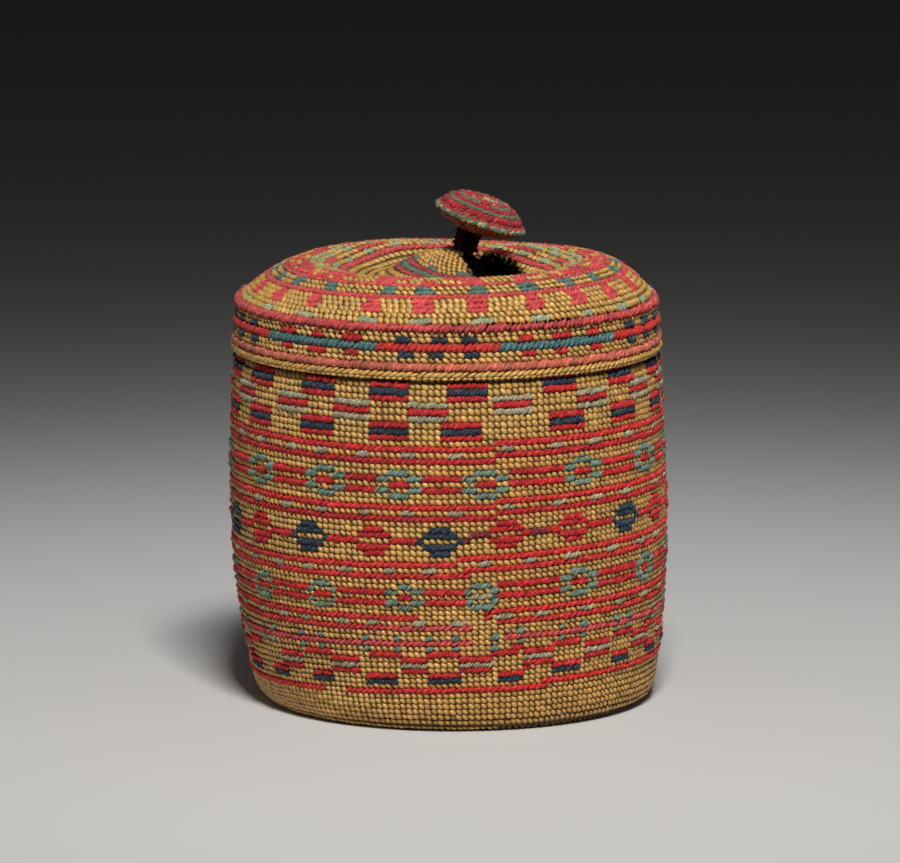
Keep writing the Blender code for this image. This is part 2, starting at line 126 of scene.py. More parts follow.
# %% Paper sweep
PAPER_HALF, PAPER_TOP = 2.6, 3.2
BEND_START, BEND_RADIUS = 2.2, 0.9
across = np.linspace(-PAPER_HALF, PAPER_HALF, 9)
bend = np.linspace(0.0, math.pi / 2.0, 14)
flat = [-PAPER_HALF, -1.0, 0.0, 1.0]
away = np.concatenate([flat, BEND_START + BEND_RADIUS * np.sin(bend), [BEND_START + BEND_RADIUS]])
rise = np.concatenate([np.zeros(len(flat)), BEND_RADIUS - BEND_RADIUS * np.cos(bend), [PAPER_TOP]])
sweep = np.stack(np.broadcast_arrays(across[:, None], away[None], rise[None]), -1)
paper = make_piece("paper_sweep", sweep.reshape(-1, 3), grid_faces(len(across), len(away)))
print("paper sweep:", count_triangles(paper), "triangles")

# %% [markdown]
# One soft lamp stands high in front, a little to the right. A weak one fills the left, and the world
# gives the rest. Their strengths are set so that a colour comes out about as it is written.

# %% Lamps and world
LIT_MIDDLE = Vector((0.0, 0.0, 0.07))


def add_lamp(name, place, size, power, tint):
    """Square soft lamp that faces the middle of the basket."""
    light = bpy.data.lights.new(name, "AREA")
    light.size = size
    light.energy = power
    light.color = tint
    lamp = bpy.data.objects.new(name, light)
    lamp.location = place
    lamp.rotation_euler = (LIT_MIDDLE - lamp.location).to_track_quat("-Z", "Y").to_euler()
    bpy.context.collection.objects.link(lamp)
    print(f"{name}: {power} W, {size} m wide")


add_lamp("key_lamp", (0.14, -1.08, 1.52), 0.40, 34.0, (1.0, 0.98, 0.95))
add_lamp("fill_lamp", (-1.2, -1.3, 0.8), 1.0, 0.3, (0.96, 0.98, 1.0))
air = bpy.data.worlds.new("studio_air")
air.use_nodes = True
background = air.node_tree.nodes["Background"]
background.inputs["Color"].default_value = (1.0, 1.0, 1.0, 1.0)
background.inputs["Strength"].default_value = 0.06
bpy.context.scene.world = air

# %% [markdown]
# ## Finishes
# A material is a sum of patterns, so it reads best as a sum. A small class wraps a socket and turns
# Python's + - * / into Math nodes; every other node comes from one method. Colours are written as
# the eye sees them on a screen and are changed to linear light once.


# %% Sockets that can be added and multiplied
class Value:
    """One output of a material's node; arithmetic on it adds Math nodes."""

    def __init__(self, finish, socket):
        self.finish = finish
        self.socket = socket

    def joined(self, operation, first, second):
        """Output of a Math node that joins two values."""
        return self.finish.node("ShaderNodeMath", {"operation": operation}, {0: first, 1: second})

    def __add__(self, other):
        return self.joined("ADD", self, other)

    def __sub__(self, other):
        return self.joined("SUBTRACT", self, other)

    def __rsub__(self, other):
        return self.joined("SUBTRACT", other, self)

    def __mul__(self, other):
        return self.joined("MULTIPLY", self, other)

    def __truediv__(self, other):
        return self.joined("DIVIDE", self, other)

    def __rtruediv__(self, other):
        return self.joined("DIVIDE", other, self)

    __radd__ = __add__
    __rmul__ = __mul__


# %% A material being written
class Finish:
    """A material that is being written, with its Principled shader."""

    def __init__(self, name, **constants):
        self.material = bpy.data.materials.new(name)
        self.material.use_nodes = True
        self.tree = self.material.node_tree
        self.shader = self.tree.nodes["Principled BSDF"]
        for socket, number in constants.items():
            self.shader.inputs[socket.replace("_", " ")].default_value = number

    def put(self, socket, value):
        """Link a Value to a socket, or set the socket to a plain number or colour."""
        if isinstance(value, Value):
            self.tree.links.new(value.socket, socket)
        else:
            socket.default_value = value

    def node(self, kind, settings, sockets, output=0):
        """Add a node: first its settings, then the values or links of its sockets."""
        made = self.tree.nodes.new(kind)
        for key, setting in settings.items():
            setattr(made, key, setting)
        for key, value in sockets.items():
            self.put(made.inputs[key], value)
        return Value(self, made.outputs[output])

    def read(self, attribute, output):
        """Output of the Attribute node for a named attribute of the mesh."""
        settings = {"attribute_name": attribute, "attribute_type": "GEOMETRY"}
        return self.node("ShaderNodeAttribute", settings, {}, output)

    def place(self):
        """Place on the object's own axes, in metres."""
        return self.node("ShaderNodeTexCoord", {}, {}, "Object")

    def sine(self, value):
        """Sine of a value, as a Math node."""
        return self.node("ShaderNodeMath", {"operation": "SINE"}, {0: value})

    def noise(self, place, scale, detail=2.0):
        """Soft noise from 0 to 1 at this scale."""
        return self.node("ShaderNodeTexNoise", {}, {"Vector": place, "Scale": scale, "Detail": detail})

    def stretch(self, place, factors):
        """Place with each of its axes multiplied."""
        return self.node("ShaderNodeVectorMath", {"operation": "MULTIPLY"}, {0: place, 1: factors})

    def shaded(self, colour, amount):
        """Colour multiplied by a grey amount."""
        return self.node("ShaderNodeVectorMath", {"operation": "SCALE"}, {0: colour, "Scale": amount})

    def blended(self, amount, first, second):
        """Mix from the first colour to the second."""
        settings = {"data_type": "RGBA", "clamp_factor": True}
        return self.node("ShaderNodeMix", settings, {0: amount, 6: first, 7: second}, 2)

    def done(self, colour, roughness, height, depth):
        """Hand the shader its colour, roughness and a bump of this height and depth in metres."""
        self.put(self.shader.inputs["Base Color"], colour)
        self.put(self.shader.inputs["Roughness"], roughness)
        bump = self.node("ShaderNodeBump", {}, {"Height": height, "Distance": depth})
        self.put(self.shader.inputs["Normal"], bump)
        print("finish:", self.material.name)
        return self.material


def linear(colour):
    """Screen colour from 0 to 255 as linear light, by the sRGB standard's curve."""
    share = np.asarray(colour, float) / 255.0
    return np.where(share <= 0.04045, share / 12.92, ((share + 0.055) / 1.055) ** 2.4)


# %% [markdown]
# The floor is plain pale paper round the basket. Its grey falls with distance from the basket, a painted
# falloff of the light, so the ground goes dark behind: half of the grey is left at 0.45 m, and little at 1
# m.

# %% Paper finish
PALE, DARKEST, HALF_WAY = 0.62, 0.02, 0.45
sheet = Finish("matt_paper", Roughness=0.9)
distance = sheet.node("ShaderNodeVectorMath", {"operation": "LENGTH"}, {0: sheet.place()}, "Value")
ratio = distance / HALF_WAY
# Painted falloff of light: the paper's grey fades with distance from the basket.
grey = (PALE - DARKEST) / (1.0 + ratio * ratio * ratio * ratio) + DARKEST
sheet.put(sheet.shader.inputs["Base Color"], sheet.shaded((1.0, 1.0, 1.0), grey))
paper.data.materials.append(sheet.material)
print("paper grey:", PALE, "under the basket,", DARKEST, "far away")

# %% [markdown]
# Every stitch carries two attributes. "tint" is its own colour, made deeper and darker toward its
# sunken rim by painted shade between the stitches. "strand" is the place on the stitch in millimetres,
# along and across it, with a number of its own in third place, so that fibres follow each strand and no
# two strands are alike.

# %% [markdown]
# Split grass is smooth and a little glossy, with fine streaks along the strand and slow mottles. The
# streaks are noise that is drawn out along the strand, and they also roughen and raise it.

# %% Plant fibre finish
fibre = Finish("twined_grass", Sheen_Weight=0.05, Specular_IOR_Level=0.7)
strand = fibre.read("strand", "Vector")
streaks = fibre.noise(fibre.stretch(strand, (0.5, 4.0, 1.0)), 1.4, 3.0)
mottle = fibre.noise(strand, 0.9)
fibre_colour = fibre.shaded(fibre.read("tint", "Color"), 0.10 + 1.10 * streaks + 0.70 * mottle)
grass_finish = fibre.done(fibre_colour, 0.19 + 0.20 * streaks, streaks, 0.00014)

# %% [markdown]
# Wool is dull, soft at its edge and deeply grooved. Its dye has worn off in flecks, which are paler
# and browner than the rest. A bump draws the filaments, which are too fine for the mesh.

# %% Wool finish
WORN = (0.62, 0.46, 0.34, 1.0)
yarn = Finish("wool_yarn", Sheen_Weight=0.12, Sheen_Roughness=0.6, Specular_IOR_Level=0.12)
strand = yarn.read("strand", "Vector")
filaments = yarn.noise(yarn.stretch(strand, (0.5, 2.2, 1.0)), 1.3, 2.0)
specks = yarn.noise(strand, 2.4, 3.0)
# Partly painted shade: the colour follows the filaments' bump and is darker where they sink.
wool_colour = yarn.shaded(yarn.read("tint", "Color"), 2.20 * filaments + 1.30 * specks - 0.72)
paler = yarn.blended(0.24, yarn.shaded(wool_colour, 1.30), WORN)
fleck_colour = yarn.blended((specks + 0.6 * filaments - 0.84) * 5.0, wool_colour, paler)
wool_finish = yarn.done(fleck_colour, 0.88 + 0.1 * specks, filaments + 0.6 * specks, 0.00045)

# %% [markdown]
# The lid has one deep fold, and its stitches are painted nearly black as shadow. They get a finish
# that throws nothing back.

# %% Deep shade finish
shadow = Finish("deep_shade", Roughness=1.0, Specular_IOR_Level=0.0)
cloud = shadow.noise(shadow.read("strand", "Vector"), 2.0)
shade_finish = shadow.done(shadow.read("tint", "Color"), 0.95 + 0.05 * cloud, cloud, 0.0001)

# %% [markdown]
# ## Shape of the pot
# The pot's side is a curve turned round an axis that leans to the left as it rises. The same numbers
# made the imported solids, so the stitches lie where the solids are. The curve is kept as a table by
# its length, from the middle of the underside to the rim, because rows are spaced along the fabric.

# %% Pot curves
BELLY_RADIUS, BELLY_HEIGHT = 0.0651, 0.0534
FOOT_PULL, FOOT_POWER = 0.00575, 1.7
HEEL_HEIGHT, HEEL_WIDTH = 0.008, 0.0045
TOP_PULL, TOP_POWER = 0.002, 2.6
LEAN, LEAN_HEIGHT = 0.0033, 0.05
LID_LINE, SKIRT_HEIGHT = 0.1052, 0.0157
LID_OVERHANG, SKIRT_TAPER = 0.0011, 0.0017
NECK_LOW, NECK_GAP, RIM_HEIGHT = 0.1026, 0.0021, 0.1172


def body_radius(z):
    """Belly radius less what the foot and the top draw in, less a quarter ellipse at the heel."""
    below = np.clip((BELLY_HEIGHT - z) / BELLY_HEIGHT, 0.0, 1.0)
    above = np.clip((z - BELLY_HEIGHT) / (LID_LINE - BELLY_HEIGHT), 0.0, None)
    turn = np.clip((HEEL_HEIGHT - z) / HEEL_HEIGHT, 0.0, 1.0)
    heel = HEEL_WIDTH * (1.0 - np.sqrt(1.0 - turn * turn))
    return BELLY_RADIUS - FOOT_PULL * below**FOOT_POWER - heel - TOP_PULL * above**TOP_POWER


def body_lean(z):
    """Sideways place of the axis: it leaves the middle and settles 3.3 mm to the left."""
    return -LEAN * (1.0 - np.exp(-np.asarray(z) / LEAN_HEIGHT))


def skirt_radius(z):
    """Radius of the lid's skirt, which narrows evenly toward its shoulder."""
    return body_radius(LID_LINE) + LID_OVERHANG - SKIRT_TAPER * z / SKIRT_HEIGHT


# %% Pot profile as a table
FLAT_POINTS, HEEL_TOP, HEEL_GAP = 60, 0.0075, 0.0005
LID_X = float(body_lean(LID_LINE))
neck_radius = skirt_radius(0.0) - NECK_GAP
heel_heights = HEEL_HEIGHT * (1.0 - np.cos(np.linspace(0.0, 1.5, 60)))
upper_heights = np.linspace(HEEL_TOP, NECK_LOW, 200)
side_heights = np.unique(np.concatenate([heel_heights, upper_heights, [LID_LINE, RIM_HEIGHT - MM]]))
side_radii = np.where(side_heights > NECK_LOW, neck_radius, body_radius(side_heights))
profile_r = np.concatenate([np.linspace(0.0, side_radii[0] - HEEL_GAP, FLAT_POINTS), side_radii])
profile_z = np.concatenate([np.zeros(FLAT_POINTS), side_heights])
profile_s = np.concatenate([[0.0], np.cumsum(np.hypot(np.diff(profile_r), np.diff(profile_z)))])
print(f"fabric from the middle of the underside to the rim: {1000 * profile_s[-1]:.0f} mm")

# %% Points of the pot
GROUND_SPACE = 0.00045


def turned(turn, radius, z, axis_x=0.0):
    """Point at a turn from the front, at a radius from an upright axis that stands at axis_x."""
    return np.stack(np.broadcast_arrays(axis_x + radius * np.sin(turn), -radius * np.cos(turn), z), -1)


def pot_surface(turn, s):
    """Point of the pot at a turn and a length s along its curve, a little over the ground at least."""
    radius, z = np.interp(s, profile_s, profile_r), np.interp(s, profile_s, profile_z)
    return turned(turn, radius, np.maximum(z, GROUND_SPACE), body_lean(z))


def at_height(z):
    """Length along the pot's curve at which its side has the height z."""
    return np.interp(z, profile_z[FLAT_POINTS:], profile_s[FLAT_POINTS:])


# %% [markdown]
# ## One stitch
# Twining passes two strands round each upright, and every pass shows as a plump bead. The bead is a
# dome over a rounded square: a grid from -1 to 1 is squeezed to a disc, its height is the root of
# one less the radius squared, and one point underneath closes it. A grass bead leans one way and sits
# inside its cell; a wool stitch leans the other way and is longer than its cell, so that a row of them
# reads as a rope. A plain form with fewer faces serves small plies and places that are hardly seen.

# %% Stitch form
SQUARENESS, FULLER_CORNER, POINT_UNDER = 0.12, 0.16, -0.25


def stitch_form(wide, high):
    """Closed dome on a grid of wide by high points: its points, cell places, squares and triangles.

    The height is the root of (1 - u * u) * (1 - v * v), and a little more toward one corner.
    """
    u = np.sin(np.linspace(-1.0, 1.0, wide) * math.pi / 2.0)[:, None] * np.ones(high)
    v = np.sin(np.linspace(-1.0, 1.0, high) * math.pi / 2.0)[None] * np.ones((wide, 1))
    x = u * (SQUARENESS + (1.0 - SQUARENESS) * np.sqrt(1.0 - v * v / 2.0))
    y = v * (SQUARENESS + (1.0 - SQUARENESS) * np.sqrt(1.0 - u * u / 2.0))
    z = np.sqrt(np.clip(1.0 - u * u - v * v + u * u * v * v, 0.0, 1.0))
    z = z * (1.0 + FULLER_CORNER * (y - x))
    points = np.stack([x, y, z], -1).reshape(-1, 3)
    cells = np.stack([u, v], -1).reshape(-1, 2)
    number = np.arange(wide * high).reshape(wide, high)
    rim = np.concatenate([number[:, 0], number[-1, 1:], number[-2::-1, -1], number[0, -2:0:-1]])
    fan = np.stack([np.roll(rim, -1), rim, np.full(len(rim), wide * high)], -1)
    points = np.vstack([points, [0.0, 0.0, POINT_UNDER]])
    return {"points": points, "cells": cells, "quads": grid_faces(wide, high), "fan": fan}


FORMS = (stitch_form(6, 5), stitch_form(5, 4))
FINE, PLAIN = 0, 1
for title, form in zip(("fine stitch", "plain stitch"), FORMS):
    print(title, "has", 2 * len(form["quads"]) + len(form["fan"]), "triangles")

# %% [markdown]
# To stand on a curved surface a stitch needs three directions: along its row, up across the rows, and
# outward. Short steps on the surface give the first two, and their cross product gives the third.

# %% Directions on a surface
TURN_STEP, LENGTH_STEP = 1e-4, 1e-5


def stand_on(surface, turn, s):
    """Point, direction along the row, up across the rows and outward, from small differences."""
    row = surface(turn + TURN_STEP, s) - surface(turn - TURN_STEP, s)
    up = surface(turn, s + LENGTH_STEP) - surface(turn, s - LENGTH_STEP)
    row /= np.linalg.norm(row, axis=-1, keepdims=True)
    out = np.cross(row, up)
    out /= np.maximum(np.linalg.norm(out, axis=-1, keepdims=True), 1e-12)
    return surface(turn, s), row, np.cross(out, row), out


# %% [markdown]
# Colours are named in one palette. A chart says which yarn each stitch has; grass is number 0, and
# braid and ochre are plant strands too. The rest is wool. Hand-dyed yarn and split grass are uneven,
# so each stitch gets a little brightness of its own on top of slow changes round the basket.

# %% Palette
PALETTE = {
    "grass": (212, 172, 98),
    "braid": (218, 176, 96),
    "scarlet": (208, 48, 44),
    "crimson": (190, 32, 40),
    "red": (198, 36, 40),
    "rose": (204, 78, 76),
    "coral": (216, 76, 78),
    "salmon": (208, 114, 90),
    "teal": (118, 144, 128),
    "blue": (78, 122, 124),
    "navy": (34, 60, 78),
    "drab": (172, 162, 132),
    "sage": (164, 172, 136),
    "knob_red": (176, 28, 44),
    "spruce": (92, 128, 120),
    "knob_sage": (104, 116, 92),
    "wine": (140, 36, 50),
    "umber": (104, 68, 34),
    "ochre": (168, 116, 60),
}
CODE = {name: number for number, name in enumerate(PALETTE)}
GRASS = CODE["grass"]
INKS = np.array([linear(colour) for colour in PALETTE.values()])
PLANT = np.isin(np.arange(len(PALETTE)), [GRASS, CODE["braid"], CODE["ochre"]])
print(len(PALETTE), "colours,", int(PLANT.sum()), "of them of plant strands")


def uneven(turn, s, size):
    """Slow change from about -1 to 1 over a surface: three crossed waves of unlike lengths."""
    a = np.sin(3.0 * turn + s / size) + np.sin(7.0 * turn - 1.7 * s / size + 2.0)
    return (a + np.sin(17.0 * turn + 2.9 * s / size + 4.0)) / 3.0


# %% [markdown]
# A stitch is one of three kinds: a grass bead, a wool rope's long slanted pass, or, in small motifs, a
# pair of steep plies. No stitch lies quite as its neighbour does, so each is moved, sized, leaned and
# lightened by a little chance, and the plies by twice as much.

# %% Lay stitches on a surface
KINDS = {  # length and height as shares of the cell, slant, height over the surface and sinking in mm
    "bead": (1.14, 1.14, -0.36, 0.92, 0.56),
    "rope": (1.50, 1.04, 0.48, 1.30, 0.62),
    "ply": (1.95, 1.04, 0.72, 1.50, 0.62),
}
STYLE = np.array(list(KINDS.values()))
STYLE_NAMES = ("long", "tall", "lean", "proud", "sink")
BEAD, ROPE, PLY = 0, 1, 2
STRAY_ALONG, STRAY_UP, STRAY_OUT = 0.035, 0.03, 0.05
STRAY_SIZE, STRAY_LEAN, STRAY_LIGHT = 0.05, 0.07, 0.045
GOLDEN_OVER, GOLDEN = 0.95, (0.98, 0.90, 0.80)
BLEACHED_UNDER, BLEACHED = 0.12, (1.10, 1.14, 1.22)


def lay(surface, turn, s, width, height, code, form=FINE, rope=False, **given):
    """Stitches at turns and lengths of a surface; width and height are the size of a stitch's cell."""
    cells = np.broadcast_arrays(np.asarray(turn, float), s, width, height, code, rope)
    turn, s, width, height, code, rope = (np.array(values).ravel() for values in cells)
    kind = np.where(PLANT[code], BEAD, np.where(rope, ROPE, PLY))
    bright = chance.normal(0.0, 1.0, len(turn))
    warm = chance.random(len(turn))

    copies = np.where(kind == PLY, 2, 1)
    cell = np.repeat(np.arange(len(turn)), copies)
    ply = np.arange(len(cell)) - np.repeat(np.cumsum(copies) - copies, copies)
    single = (turn, s, height, code, kind, bright, warm)
    turn, s, height, code, kind, bright, warm = (values[cell] for values in single)
    aside = np.where(kind == PLY, ply - 0.5, 0.0) * 0.5 * width[cell]
    width = width[cell] / copies[cell]
    style = {**dict(zip(STYLE_NAMES, STYLE[kind].T)), **given}

    at, row, up, out = stand_on(surface, turn, s)
    stray = np.where(kind == PLY, 2.0, 1.0)[:, None] * chance.normal(0.0, 1.0, (len(turn), 6))
    at = at + row * (aside + STRAY_ALONG * width * stray[:, 0])[:, None]
    at = at + up * (STRAY_UP * height * stray[:, 1])[:, None]
    at = at + out * (STRAY_OUT * MM * stray[:, 2])[:, None]
    size = 1.0 + STRAY_SIZE * stray[:, 3]

    wool = kind != BEAD
    light = 1.0 + np.where(wool, 0.08, 0.09) * bright
    light = light + np.where(wool, 0.09, 0.06) * uneven(turn, s, 0.012)
    light = light + STRAY_LIGHT * stray[:, 5]
    tint = INKS[code] * np.clip(light, 0.6, 1.5)[:, None]
    tint = tint * np.where((~wool & (warm > GOLDEN_OVER))[:, None], GOLDEN, 1.0)
    tint = tint * np.where((~wool & (warm < BLEACHED_UNDER))[:, None], BLEACHED, 1.0)
    return {
        "at": at, "row": row, "up": up, "out": out, "wool": wool, "tint": tint,
        "half": 0.5 * width * style["long"] * size, "rise": 0.5 * height * style["tall"] * size,
        "slope": style["lean"] + STRAY_LEAN * stray[:, 4],
        "stand": style["proud"] * MM * size, "sink": style["sink"] * MM,
        "form": np.where(kind == PLY, PLAIN, form), "shade": np.zeros(len(wool), bool),
    }


def gather(groups):
    """Several groups of arrays with the same keys as one."""
    return {key: np.concatenate([group[key] for group in groups]) for key in groups[0]}


# %% [markdown]
# One function sews any number of stitches into one mesh. The points of the form are multiplied by each
# stitch's size and laid along its own directions, all in one array. Each stitch also gets a cell of its
# own on the baking map.

# %% Shape of many stitches
RIM_SHADE_POWER = 1.5


def shape_stitches(st, form):
    """Points, strand places and colours: place = centre + along * x + up * (y + slope * x) + out * z.

    Toward the sunken rim a colour is raised to a power, which makes it deeper, and darkened,
    as painted shade between the stitches.
    """
    x, y, z = form["points"].T
    along = st["half"][:, None] * x
    upward = st["rise"][:, None] * y
    outward = st["stand"][:, None] * z - st["sink"][:, None]
    points = st["at"][:, None] + st["row"][:, None] * along[..., None]
    points = points + st["up"][:, None] * (upward + st["slope"][:, None] * along)[..., None]
    points = points + st["out"][:, None] * outward[..., None]
    seed = 37.0 * chance.random((len(along), 1))
    strand = np.stack(np.broadcast_arrays(along / MM, upward / MM, seed), -1)
    # Painted shade: toward each stitch's sunken rim, where it meets its neighbours, its colour goes deeper
    # and darker.
    deep = (1.0 - np.clip(z, 0.0, 1.0))[None, :, None] ** RIM_SHADE_POWER
    wool = st["wool"][:, None, None]
    power = 1.0 + np.where(wool, 0.40, 1.25) * deep
    tint = st["tint"][:, None] ** power * (1.0 - np.where(wool, 0.35, 0.55) * deep)
    tint = np.concatenate([tint, np.ones_like(tint[..., :1])], -1)
    return points.reshape(-1, 3), strand.reshape(-1, 3), tint.reshape(-1, 4)


# %% Places on the baking map
DOME_HALF, DOME_MIDDLE = (0.47, 0.42), (0.5, 0.45)
STRIP_LOW, STRIP_HIGH, STRIP_LEFT, STRIP_LONG = 0.92, 0.98, 0.03, 0.94


def map_places(form, first, count, side):
    """Places of each stitch's squares and triangles in a cell of its own, on a sheet of side by side.

    The dome fills most of a cell, and the triangles under it stand in a strip along the cell's top.
    """
    number = first + np.arange(count)
    corner = np.stack([number % side, number // side], -1)[:, None]
    dome = form["cells"][form["quads"].ravel()] * DOME_HALF + DOME_MIDDLE
    steps = np.arange(len(form["fan"]))[:, None]
    heights = np.tile((STRIP_LOW, STRIP_LOW, STRIP_HIGH), (len(steps), 1))
    strip = np.stack([steps + (1.0, 0.0, 0.5), heights], -1) / (len(steps), 1.0)
    strip = (strip * (STRIP_LONG, 1.0) + (STRIP_LEFT, 0.0)).reshape(-1, 2)
    return ((corner + dome) / side).reshape(-1, 2), ((corner + strip) / side).reshape(-1, 2)


# %% Sew stitches to a piece
sewn = {"basket": [], "lid": []}


def dress(piece, body, nodes):
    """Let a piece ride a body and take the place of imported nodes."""
    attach(piece, body)
    if nodes:
        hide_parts(*nodes)
    print(f"{piece.name}: {count_triangles(piece)} triangles")


def sew(name, groups, body, nodes):
    """One object from groups of stitches, whichever of the two forms each has."""
    everything = gather(groups)
    sewn[body].append(everything)
    side = math.ceil(math.sqrt(len(everything["half"])))
    made, first_point, first_stitch = [], 0, 0
    for number, form in enumerate(FORMS):
        st = {key: values[everything["form"] == number] for key, values in everything.items()}
        count, per = len(st["half"]), len(form["points"])
        points, strand, tint = shape_stitches(st, form)
        start = first_point + per * np.arange(count)[:, None, None]
        quad_spots, fan_spots = map_places(form, first_stitch, count, side)
        finish = np.where(st["shade"], 2, st["wool"]).astype(np.int32)
        made.append({
            "points": points, "strand": strand, "tint": tint,
            "quads": (form["quads"] + start).reshape(-1, 4), "fans": (form["fan"] + start).reshape(-1, 3),
            "quad_spots": quad_spots, "fan_spots": fan_spots,
            "quad_finish": np.repeat(finish, len(form["quads"])),
            "fan_finish": np.repeat(finish, len(form["fan"])),
        })
        first_point += per * count
        first_stitch += count
    made = gather(made)

    piece = make_piece(name, made["points"], made["quads"], made["fans"])
    write_points(piece, "tint", "FLOAT_COLOR", made["tint"])
    write_points(piece, "strand", "FLOAT_VECTOR", made["strand"])
    write_map(piece, "OFBake", np.vstack([made["quad_spots"], made["fan_spots"]]))
    for finish in (grass_finish, wool_finish, shade_finish):
        piece.data.materials.append(finish)
    finishes = np.concatenate([made["quad_finish"], made["fan_finish"]])
    piece.data.polygons.foreach_set("material_index", finishes)
    print(f"{name}: {len(everything['half'])} stitches")
    dress(piece, body, nodes)


# %% [markdown]
# ## The pot's chart
# The rows climb as one spiral: right of a seam near the front a row continues one step higher. Row 1
# is the first below the lid, and 206 stitches go round. The bands are, from the lid down: three tiers
# of short blocks, a band of rosettes between red courses, diamonds joined by a line, rosettes again,
# dotted lines, a checked band, and plain grass that turns under the foot. A drawing of letters stands
# for a small motif; it is copied round at measured turns in front and at even steps behind.

# %% Row heights and seam
STITCHES_ROUND, CHART_ROWS = 206, 66
SEAM = 12.5
ROW_MARKS = (0, 1, 2, 3, 4, 6, 8, 11, 13, 16, 21, 26, 31, 36, 41, 46, 51, 55, 60, 62)
ROW_HEIGHTS = (
    105.9, 103.9, 101.9, 100.05, 98.3, 94.2, 90.4, 85.3, 81.7, 76.6,
    68.1, 59.9, 51.2, 43.0, 35.2, 27.5, 19.2, 13.1, 4.6, 1.0,
)
SEAM_ROWS = (1, 14, 15, 19, 20, 23, 26, 27, 31, 33, 34, 39, 40, 46, 55, 64)
SEAM_TURNS = (12.5, 12.5, 16.1, 16.1, 12.5, 12.5, 4.8, 4.8, 2.0, 5.0, 12.5, 12.5, 9.5, 13.5, 25.5, 29.0)
YARN_LETTERS = {
    "r": "red", "o": "rose", "t": "teal", "n": "navy", "d": "drab", "g": "grass", "w": "wine",
}
chart = np.zeros((CHART_ROWS, STITCHES_ROUND), int)
print(f"one stitch of the pot takes {360.0 / STITCHES_ROUND:.2f} degrees")


def columns(turn, count):
    """The count stitches nearest to a turn, in degrees from the front."""
    middle = ((turn - SEAM) % 360.0) / 360.0 * STITCHES_ROUND - 0.5
    return (np.round(middle - (count - 1) / 2.0).astype(int) + np.arange(count)) % STITCHES_ROUND


def draw(row, turn, motif):
    """Copy a drawing of letters into the chart, its middle at a turn; a dot leaves what is there."""
    for step, line in enumerate(motif):
        for column, letter in zip(columns(turn, len(line)), line):
            if letter != ".":
                chart[row + step, column] = CODE[YARN_LETTERS[letter]]


def all_round(front, count):
    """Turns measured in front, then even steps behind until there are count of them."""
    behind = np.linspace(front[-1], front[0] + 360.0, count - len(front) + 2)[1:-1]
    return list(front) + list(behind)


# %% Courses and blocks
COURSES = {
    "scarlet": (11, 21, 31, 33, 41, 43, 55),
    "crimson": (13, 23),
    "rose": (46,),
    "red": (16, 18, 27, 36, 38),
}
for dye, rows in COURSES.items():
    chart[list(rows)] = CODE[dye]

block, pale_block = ["rrrrrr", "nnnnnn", "rrrrrr"], ["dddddd", "rrrrrr", "dddddd"]
for turn in all_round((-78.0, -58.8, -35.6, -15.1, 4.7, 32.5, 54.2, 75.0), 18):
    draw(1, turn, block)
for turn in all_round((-78.0, -58.8, -36.0, -16.3, 3.4, 32.9, 54.2, 75.0), 18):
    draw(7, turn, block)
for turn in all_round((-68.0, -45.6, -25.1, -5.2, 18.3, 42.9, 64.0), 18):
    draw(4, turn, pale_block)
print("rows of one colour all round:", sorted(row for rows in COURSES.values() for row in rows))

# %% [markdown]
# A rosette is an open ring of teal with a red bar across its middle, five rows high. The lower band has
# smaller ones too, one of them with a drab bar. A diamond is navy or red with grass across its middle,
# and two stretches of the line beside it are wine. Drab dashes stand between two full courses.

# %% Rosettes, diamonds and dashes
rosette = ["ggtttgg", "ttgggtt", "ggrrrgg", "ttgggtt", "ggtttgg"]
middle_rosette = ["ggttgg", "ttggtt", "ggrrgg", "ttggtt", "ggttgg"]
small_rosette = ["gtttg", "tgggt", "grrrg", "tgggt", "gtttg"]
grey_rosette = ["gtttg", "tgggt", "gdddt", "tgggt", "gtttg"]
for turn in all_round((-84.0, -58.8, -34.0, -12.4, 9.7, 37.7, 64.4, 86.0), 15):
    draw(15, turn, rosette)
low_turns = all_round((-83.0, -58.7, -35.0, -12.3, 8.6, 36.3, 63.8, 87.0), 15)
low_drawings = [small_rosette] * 3 + [middle_rosette, grey_rosette] + [rosette, middle_rosette] * 5
for turn, drawing in zip(low_turns, low_drawings):
    draw(35, turn, drawing)

navy_diamond = ["..nnn..", ".nnnnn.", "ngggggn", ".nnnnn.", "..nnn.."]
red_diamond = ["..rrr..", ".rrrrr.", "rgggggr", ".rrrrr.", "..rrr.."]
for number, turn in enumerate(all_round((-75.1, -58.1, -38.4, -20.7, -1.5, 15.2, 34.1, 53.2, 70.8), 19)):
    draw(25, turn, navy_diamond if number in (0, 2, 4, 7, 10, 12, 14, 17) else red_diamond)

draw(27, 8.1, ["wwww"])
draw(27, 23.6, ["www"])

for turn in all_round((-70.3, -58.1, -45.9, -34.0, -21.8, -9.5, 2.5, 16.4, 30.1, 42.6, 56.2, 71.3), 29):
    draw(12, turn, ["dd"])
    draw(22, turn - 0.9, ["dd"])
for turn in all_round((-63.4, -50.5, -39.1, -27.9, -15.8, -5.2, 8.2, 22.1, 33.7, 46.6, 59.9, 71.0), 30):
    draw(32, turn, ["dd"])
for turn in all_round((-61.3, -50.6, -41.2, -30.1, -20.0, -9.2, 2.0, 14.1, 25.6, 38.3, 50.9, 63.6), 32):
    draw(42, turn, ["dd"])
print("stitches of yarn on the chart so far:", int((chart != GRASS).sum()))

# %% [markdown]
# A few courses are worn through to the grass, or have faded, near the front. Those stitches are drawn
# over the course, a long run one stitch at a time. Dots and small checks fill the rows round them.

# %% Worn places, dots and checks
STITCH_TURN = 1.7
for turn in np.arange(-7.5, 8.0, STITCH_TURN):
    draw(41, turn, ["g"])
for turn in np.arange(-17.6, 6.0, STITCH_TURN):
    draw(43, turn, ["o"])
draw(43, 8.4, ["gggg"])
draw(46, 10.7, ["ggggg"])
draw(55, -34.2, ["gggg"])

